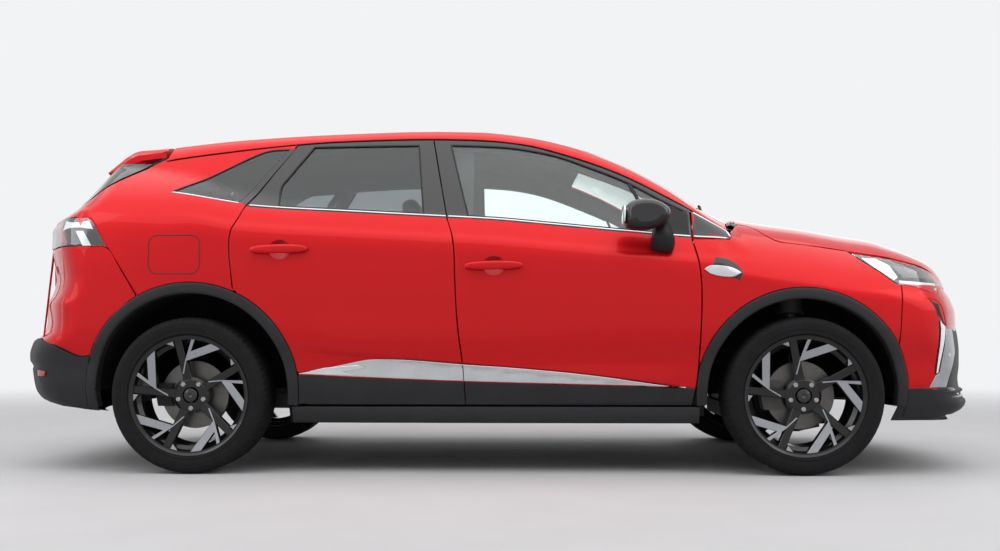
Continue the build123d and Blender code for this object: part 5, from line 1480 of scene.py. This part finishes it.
make("grille_lattice", lattice(cells, 15, 5.5, -6, 16, 2.5), SATIN, flat=True)
slats = []
for z in range(336, 470, 19):
    half = 496 + (z - 336) * 0.42
    run = [(half - 10, z), (half / 2, z), (0, z), (-half / 2, z), (-half + 10, z)]
    slats.append(bead(nose_front(smooth(run, 30)), on_nose,
                      [(-4, -34), (-4, -12), (4, -12), (4, -34)]))
make("intake_slats", joined(slats), DARK)
make("nose_badge_blank", patch(nose_front(circle(0, 690, 36, 44, 36)), on_nose, 14, off=7, t=16,
                               edge=3), CHROME)
make("front_plate_blank", patch(nose_front([(260, 466), (260, 576), (-260, 576), (-260, 466)]),
                                on_nose, 20, off=9, t=6, edge=1.5), GREY)

# lower lip: apron, chin and a stepped splitter
apron_half = ([(0.0, 316)] + nose_front([(300, 316), (560, 316)])
              + nose_side([(1930, 371), (1842, 371), (1801, 373)])
              + nose_side(arch_run(FRONT_ARCH, (370, 1), (250, 1)))
              + nose_side([(1760, 243), (1840, 246)]) + [(20 * RAY_SCALE, 250), (0.0, 250)])
make("nose_apron", patch(mirrored(apron_half), on_nose, 14, off=4, t=10, edge=4), CLAD)


def shelf(name, z, h, reach, a1, mat):
    """Horizontal blade round the nose from -a1 to a1 degrees, tapering at its ends."""
    rows = []
    angles = np.linspace(-a1, a1, 121)
    q = np.c_[angles * RAY_SCALE, np.full(121, float(z))]
    p = on_nose(q)
    d = np.c_[np.cos(np.radians(angles)), np.sin(np.radians(angles)), np.zeros(121)]
    fade = np.clip((1 - (np.abs(angles) / a1) ** 5), 0, 1)
    for out, up in ((-20, -h / 2), (reach * 0.6, -h / 2), (reach - 3, -h * 0.36),
                    (reach, -h * 0.1), (reach, h * 0.1), (reach - 3, h * 0.36),
                    (reach * 0.6, h / 2), (-20, h / 2)):
        r = p + d * (out * fade[:, None] if out > 0 else out)
        r[:, 2] += up
        rows.append([tuple(v) for v in r])
    verts, faces = sheet_grid(rows)
    make(name, (verts, [f[::-1] for f in faces]), mat)


shelf("splitter_upper", 352, 12, 16, 62, CLAD)
shelf("splitter_middle", 330, 10, 12, 60, GLOSS)
shelf("splitter_lower", 300, 16, 5, 58, CLAD)

# headlamps
lamp_top = [at(bonnet_shut_z, x, -6) for x in np.linspace(1532, 1930, 26)]
head_out = (nose_side(lamp_top)
            + nose_front([(520, 846), (430, 850), (340, 851), (330, 842), (440, 812)])
            + lamp_low[::-1] + nose_side(LAMP_BACK[::-1]))
head_rim = grow(ring(head_out), -2.5)
both("headlamp_cover", patch(head_rim, on_nose, 12, off=2.6, t=3, back=True), LAMP_GLASS)
both("headlamp_shell", patch(grow(ring(head_out), -5), on_nose, 12, off=-20, t=12, edge=1),
     LAMP_DARK, instead_of="headlamp")
for name, pts, mat, off in (
        ("headlamp_reflector", [(1585, 938), (1650, 935), (1700, 905), (1722, 850), (1700, 836),
                                (1640, 885)], LAMP_CHROME, -6),
        ("headlamp_lens_block", [(1712, 905), (1860, 882), (1905, 850), (1880, 838), (1745, 846)],
         LAMP_DARK, -4),
        ("headlamp_strip", [(1716, 832), (1800, 826), (1900, 822), (1900, 808), (1800, 810),
                            (1722, 818)], LAMP_WHITE, 0.8),
        ("headlamp_band", [(1722, 814), (1800, 806), (1896, 786), (1903, 804), (1800, 809)],
         LAMP_CHROME, 0.8)):
    both(name, patch(nose_side(pts), on_nose, 9, off=off, t=14, edge=2), mat)


# ------------------------------------------------------------------ door mirrors
HOUSING = smooth([(537, 1062), (534, 1100), (537, 1142), (556, 1160), (592, 1168), (632, 1165),
                  (668, 1147), (688, 1119), (682, 1092), (656, 1066), (610, 1051), (560, 1050),
                  (537, 1062)], 9)[:-1]
# stretched 1.22 times along the car and 1.08 times upward
HOUSING = [(543 + (u - 534) * 1.22, v - 5 + (v - 1104) * 0.08) for u, v in HOUSING]
ARM_IN = [(669, 962), (710, 948), (758, 946), (774, 984), (758, 1030), (742, 1062), (680, 1064)]
HOUSING_MID = (638.0, 1099.0)
rows = []
for y, k in ((868, 0.62), (871, 0.80), (880, 0.93), (900, 0.99), (935, 1.0), (965, 0.98),
             (985, 0.92), (995, 0.83), (1000, 0.70), (1001, 0.52)):
    rows.append([(HOUSING_MID[0] + (u - HOUSING_MID[0]) * k, y,
                  HOUSING_MID[1] + (v - HOUSING_MID[1]) * k) for u, v in HOUSING])
housing = loft(rows)
arm_rows = []
for y, k, dz in ((830, 1.0, 0), (850, 1.0, 0), (880, 0.92, 6), (905, 0.80, 22), (920, 0.66, 36)):
    arm_rows.append([(712 + (u - 722) * k, y, 1010 + (v - 1010) * k + dz) for u, v in ARM_IN])
arm = loft(arm_rows)
plate_ring = rounded_box(934, 1103, 112, 74, 22, 5)
glass_plate = loft([[(x, 934 + (y - 934) * k, 1103 + (z - 1103) * k) for y, z in plate_ring]
                    for x, k in ((540, 1.0), (533.5, 1.0), (532.6, 0.97))])
for cap in both("mirror_housing", housing, GLOSS, FRONT_DOOR, instead_of="mirror"):
    cap.data.materials.append(DARK)
    centre = np.empty(len(cap.data.polygons) * 3)
    cap.data.polygons.foreach_get("center", centre)
    centre = centre.reshape(-1, 3) / MM
    low = centre[:, 2] < 1078 + 0.12 * (centre[:, 0] - 540)
    cap.data.polygons.foreach_set("material_index", low.astype(np.int32))
both("mirror_arm", arm, DARK, FRONT_DOOR)
both("mirror_plate", glass_plate, CHROME, FRONT_DOOR)


# ------------------------------------------------------------------ cabin: padded seats
def pad_form(size, r, n=26, crown=0.0, bolster=0.0, waist=0.0):
    """Rounded block with a crowned top (+Z), raised sides (Y) and drawn-in flanks, in mm."""
    half = np.array(size, float) / 2
    grid = {}
    verts, faces = [], []
    counts = [max(4, int(n * s / max(size))) for s in size]

    def vertex(i, j, k):
        key = (i, j, k)
        if key not in grid:
            p = np.array([2.0 * i / counts[0] - 1, 2.0 * j / counts[1] - 1, 2.0 * k / counts[2] - 1])
            q = p * half
            core = np.clip(q, -(half - r), half - r)
            d = q - core
            length = np.linalg.norm(d)
            if length > 1e-9:
                q = core + d * (r / length)
            u, v = q[0] / half[0], q[1] / half[1]
            up = max(0.0, q[2] / half[2])
            q[2] += up * crown * (1 - u * u) * (1 - v * v)
            q[2] += up * bolster * max(0.0, 1 - ((abs(v) - 0.82) / 0.26) ** 2) * (1 - u ** 6)
            q[0] -= waist * u * (1 - v * v) * abs(u)
            q[1] -= waist * v * (1 - u * u) * abs(v)
            grid[key] = len(verts)
            verts.append(tuple(q))
        return grid[key]

    a, b, c = counts
    for i in range(a):
        for j in range(b):
            faces.append((vertex(i, j, c), vertex(i + 1, j, c), vertex(i + 1, j + 1, c),
                          vertex(i, j + 1, c)))
            faces.append((vertex(i, j, 0), vertex(i, j + 1, 0), vertex(i + 1, j + 1, 0),
                          vertex(i + 1, j, 0)))
    for i in range(a):
        for k in range(c):
            faces.append((vertex(i, 0, k), vertex(i + 1, 0, k), vertex(i + 1, 0, k + 1),
                          vertex(i, 0, k + 1)))
            faces.append((vertex(i, b, k), vertex(i, b, k + 1), vertex(i + 1, b, k + 1),
                          vertex(i + 1, b, k)))
    for j in range(b):
        for k in range(c):
            faces.append((vertex(0, j, k), vertex(0, j, k + 1), vertex(0, j + 1, k + 1),
                          vertex(0, j + 1, k)))
            faces.append((vertex(a, j, k), vertex(a, j + 1, k), vertex(a, j + 1, k + 1),
                          vertex(a, j, k + 1)))
    return verts, faces


def stuffed(name, data, seams, voxel=11.0, cap=9.0):
    """Mesh of a pad: inflated by Cloth, subdivided, then grooved along its seams.

    seams holds (axis, at, lo, hi): a groove across the top at that coordinate.
    """
    mesh = bpy.data.meshes.new(name)
    mesh.from_pydata((np.array(data[0]) * MM).tolist(), [], [list(f) for f in data[1]])
    obj = bpy.data.objects.new(name, mesh)
    scene = bpy.context.scene
    scene.collection.objects.link(obj)
    re = obj.modifiers.new("remesh", "REMESH")
    re.mode, re.voxel_size = "VOXEL", voxel * MM
    graph = bpy.context.evaluated_depsgraph_get()
    fine = bpy.data.meshes.new_from_object(obj.evaluated_get(graph))
    obj.modifiers.clear()
    obj.data = fine
    start = np.empty(len(fine.vertices) * 3)
    fine.vertices.foreach_get("co", start)
    cloth = obj.modifiers.new("cloth", "CLOTH")
    cloth.settings.use_pressure = True
    cloth.settings.uniform_pressure_force = 4.0
    cloth.settings.effector_weights.gravity = 0.0
    cloth.settings.quality = 4
    for f in range(1, 21):
        scene.frame_set(f)
    graph = bpy.context.evaluated_depsgraph_get()
    blown = bpy.data.meshes.new_from_object(obj.evaluated_get(graph))
    end = np.empty(len(blown.vertices) * 3)
    blown.vertices.foreach_get("co", end)
    move = (end - start).reshape(-1, 3)
    length = np.linalg.norm(move, axis=1)
    move *= np.minimum(1.0, cap * MM / np.maximum(length, 1e-9))[:, None]
    blown.vertices.foreach_set("co", (start.reshape(-1, 3) + move).ravel())
    obj.modifiers.clear()
    obj.data = blown
    scene.frame_set(1)
    sub = obj.modifiers.new("round", "SUBSURF")
    sub.levels = sub.render_levels = 1
    graph = bpy.context.evaluated_depsgraph_get()
    done = bpy.data.meshes.new_from_object(obj.evaluated_get(graph))
    obj.modifiers.clear()
    count = len(done.vertices)
    co, nn = np.empty(count * 3), np.empty(count * 3)
    done.vertices.foreach_get("co", co)
    done.vertices.foreach_get("normal", nn)
    co, nn = co.reshape(-1, 3) / MM, nn.reshape(-1, 3)
    depth_mm = np.zeros(count)
    for axis, at, lo, hi in seams:
        along_axis = co[:, 1 - axis]
        depth_mm = np.maximum(depth_mm, 4.0 * np.exp(-((co[:, axis] - at) / 5.0) ** 2)
                              * (along_axis > lo) * (along_axis < hi) * (nn[:, 2] > 0.2))
    co -= nn * depth_mm[:, None]
    bpy.data.objects.remove(obj)
    faces = [tuple(p.vertices) for p in done.polygons]
    return co, faces


def placed(data, at, tilt=0.0):
    """Turn a pad about Y by tilt degrees and move it."""
    co = np.array(data[0], float)
    c, s = math.cos(math.radians(tilt)), math.sin(math.radians(tilt))
    out = np.c_[co[:, 0] * c + co[:, 2] * s, co[:, 1], -co[:, 0] * s + co[:, 2] * c]
    return out + np.array(at, float), data[1]


def pad(name, data):
    """Padded piece in seat fabric."""
    obj = make(name, data, FABRIC)
    return obj


seat_low = stuffed("seat_low", pad_form((500, 478, 108), 40, 34, 8, 20, 5),
                   [(1, -150, -230, 240), (1, 150, -230, 240), (0, 120, -148, 148),
                    (0, -20, -148, 148)], cap=7)
seat_up = stuffed("seat_up", pad_form((612, 458, 96), 40, 38, 6, 24, 5),
                  [(1, -140, -290, 250), (1, 140, -290, 250), (0, 90, -138, 138),
                   (0, -40, -138, 138), (0, -170, -138, 138)], cap=7)
rest = stuffed("rest", pad_form((176, 236, 78), 34, 22, 5, 0, 4), [(0, 0, -110, 110)], cap=5)
rest_rear = stuffed("rest_rear", pad_form((116, 228, 66), 28, 18, 4, 0, 3), [], cap=5)
bench_low = stuffed("bench_low", pad_form((392, 1136, 120), 38, 60, 8, 0, 4),
                    [(1, -190, -190, 190), (1, 190, -190, 190), (1, -400, -150, 190),
                     (1, 400, -150, 190), (0, 60, -520, 520)], voxel=13, cap=8)
bench_up = stuffed("bench_up", pad_form((574, 930, 104), 38, 52, 8, 0, 4),
                   [(1, -170, -280, 280), (1, 170, -280, 280), (0, 60, -440, 440),
                    (0, -90, -440, 440)], voxel=13, cap=8)


def tube(a, b, r, n=14):
    """Round bar between two points."""
    a, b = np.array(a, float), np.array(b, float)
    d = (b - a) / np.linalg.norm(b - a)
    u = np.cross(d, (0, 1, 0) if abs(d[1]) < 0.9 else (1, 0, 0))
    u /= np.linalg.norm(u)
    v = np.cross(d, u)
    turn = [2 * math.pi * k / n for k in range(n)]
    return loft([[tuple(p + r * (u * math.cos(t) + v * math.sin(t))) for t in turn]
                 for p in (a, b)])


def brick(x0, x1, y0, y1, z0, z1):
    """Box between two corners."""
    return loft([[(x0, y0, z), (x1, y0, z), (x1, y1, z), (x0, y1, z)] for z in (z0, z1)])


for side, sg in SIDES:
    y = 370.0 * sg
    low = pad("seat_cushion_" + side, placed(seat_low, (110, y, 435)))
    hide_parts("front_seat_" + side)
    pad("seat_back_" + side, placed(seat_up, (-247, y, 728), 68))
    pad("head_rest_" + side, placed(rest, (-405, y, 1150), 78))
    posts = [tube((-372, y + d, 1000), (-395, y + d, 1120), 7) for d in (-50, 50)]
    posts += [brick(-80, 300, y + d - 15, y + d + 15, 255, 305) for d in (-185, 185)]
    posts.append(brick(-120, 330, y - 205, y + 205, 300, 378))
    make("seat_frame_" + side, joined(posts), CABIN, flat=True)
cushion = pad("bench_cushion", placed(bench_low, (-685, 0, 512)))
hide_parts("rear_bench")
pad("bench_back", placed(bench_up, (-1004, 0, 724), 70))
for side, sg in SIDES:
    pad("rear_head_rest_" + side, placed(rest_rear, (-1130, 290 * sg, 1090), 90))
    posts = [tube((-1105, 290 * sg + d, 950), (-1128, 290 * sg + d, 1060), 7) for d in (-40, 40)]
    make("rear_rest_posts_" + side, joined(posts), STEEL)
make("bench_base", brick(-870, -500, -560, 560, 431, 462), CABIN, flat=True)

# dashboard details
make("centre_screen", brick(596, 612, -110, 150, 985, 1100), GLOSS, flat=True)
make("driver_screen", brick(600, 616, 260, 480, 975, 1085), GLOSS, flat=True)
vents = [brick(528, 548, y - 60, y + 60, 900, 924) for y in (-560, 0, 560)]
make("air_vents", joined(vents), DARK, flat=True)
lever = [tube((250, 0, 560), (262, 0, 640), 9), brick(240, 284, -24, 24, 636, 668)]
make("gear_lever", joined(lever), GLOSS, flat=True)

# wiper arms and blades at the foot of the windscreen
for k, (x0, y0, x1, y1) in enumerate(((1006, 520, 900, -60), (1010, -80, 905, -560))):
    path = [(x0 + (x1 - x0) * t, y0 + (y1 - y0) * t) for t in np.linspace(0, 1, 24)]
    blade = bead(path, on_top, [(-5, 4), (-4, 14), (4, 14), (5, 4)], off=2)
    make("wiper_blade_%d" % (k + 1), blade, DARK)
    arm_path = [(1030 + ((x0 + x1) / 2 - 1030) * t, y0 + (y1 - y0) / 2 * t)
                for t in np.linspace(0, 1, 12)]
    arm = bead(arm_path, on_top, [(-7, 10), (-6, 22), (6, 22), (7, 10)], off=0)
    make("wiper_arm_%d" % (k + 1), arm, DARK)

# ------------------------------------------------------------------ camera, lamps and stage
CAMERA_AT = (0.1306, -5.3839, 0.5819)
CAMERA_YAW = 0.0256
LENS = 38.02
SHIFT_Y = 0.0634

cam = bpy.data.cameras.new("camera")
cam.lens, cam.sensor_width, cam.shift_y = LENS, 36.0, SHIFT_Y
camera = bpy.data.objects.new("camera", cam)
camera.location = CAMERA_AT
camera.rotation_euler = (math.pi / 2, 0, CAMERA_YAW)
bpy.context.scene.collection.objects.link(camera)
bpy.context.scene.camera = camera


def softbox(name, at, aim, size, power):
    """Rectangular area lamp that points at aim; metres and watts."""
    lamp = bpy.data.lights.new(name, "AREA")
    lamp.shape, lamp.size, lamp.size_y, lamp.energy = "RECTANGLE", size[0], size[1], power
    obj = bpy.data.objects.new(name, lamp)
    obj.location = at
    obj.rotation_euler = (Vector(aim) - Vector(at)).to_track_quat("-Z", "Y").to_euler()
    bpy.context.scene.collection.objects.link(obj)


softbox("overhead", (0, -1.4, 4.6), (0, 0, 0), (12.0, 7.0), 350)
softbox("front_fill", (5.2, -3.2, 3.0), (0, 0, 0.7), (3.5, 3.0), 55)
softbox("rear_fill", (-5.2, -3.2, 3.0), (0, 0, 0.7), (3.5, 3.0), 55)
softbox("back_fill", (0, 5.6, 3.4), (0, 0, 0.7), (10.0, 4.0), 70)

world = bpy.data.worlds.new("studio")
world.use_nodes = True
bpy.context.scene.world = world
wt = world.node_tree
wt.nodes["Background"].inputs["Color"].default_value = (0.90, 0.91, 0.93, 1)
wt.nodes["Background"].inputs["Strength"].default_value = 0.32
pale = wt.nodes.new("ShaderNodeBackground")
BACKDROP = (0.89, 0.895, 0.905, 1)
pale.inputs["Color"].default_value = BACKDROP
path = wt.nodes.new("ShaderNodeLightPath")
either = wt.nodes.new("ShaderNodeMath")
either.operation = "MAXIMUM"
either2 = wt.nodes.new("ShaderNodeMath")
either2.operation = "MAXIMUM"
link(wt, path, "Is Camera Ray", either, 0)
link(wt, path, "Is Glossy Ray", either, 1)
link(wt, either, "Value", either2, 0)
link(wt, path, "Is Transmission Ray", either2, 1)
mix = wt.nodes.new("ShaderNodeMixShader")
link(wt, either2, "Value", mix, "Fac")
wt.links.new(wt.nodes["Background"].outputs[0], mix.inputs[1])
wt.links.new(pale.outputs[0], mix.inputs[2])
link(wt, mix, "Shader", wt.nodes["World Output"], "Surface")

floor_mesh = bpy.data.meshes.new("floor")
FLOOR = 40.0
floor_mesh.from_pydata([(-FLOOR, -FLOOR, 0), (FLOOR, -FLOOR, 0), (FLOOR, FLOOR, 0),
                        (-FLOOR, FLOOR, 0)], [], [(0, 1, 2, 3)])
floor = bpy.data.objects.new("floor", floor_mesh)
pale_floor = surface("pale_floor", (0.60, 0.60, 0.61), 0.75, vary=0.02, scale=3.0, grain=0.1,
                     grain_scale=300.0)
ft = pale_floor.node_tree
far = ft.nodes.new("ShaderNodeVectorMath")
far.operation = "LENGTH"
where = ft.nodes.new("ShaderNodeNewGeometry")
link(ft, where, "Position", far, 0)
band = ft.nodes.new("ShaderNodeMapRange")
band.inputs["From Min"].default_value, band.inputs["From Max"].default_value = 3.2, 9.5
band.interpolation_type = "SMOOTHSTEP"
link(ft, far, "Value", band, "Value")
haze = ft.nodes.new("ShaderNodeEmission")
haze.inputs["Color"].default_value = BACKDROP
blend = ft.nodes.new("ShaderNodeMixShader")
link(ft, band, "Result", blend, "Fac")
ft.links.new(ft.nodes["Principled BSDF"].outputs["BSDF"], blend.inputs[1])
ft.links.new(haze.outputs["Emission"], blend.inputs[2])
link(ft, blend, "Shader", ft.nodes["Material Output"], "Surface")
floor_mesh.materials.append(pale_floor)
bpy.context.scene.collection.objects.link(floor)

bpy.context.scene.view_settings.view_transform = "Standard"
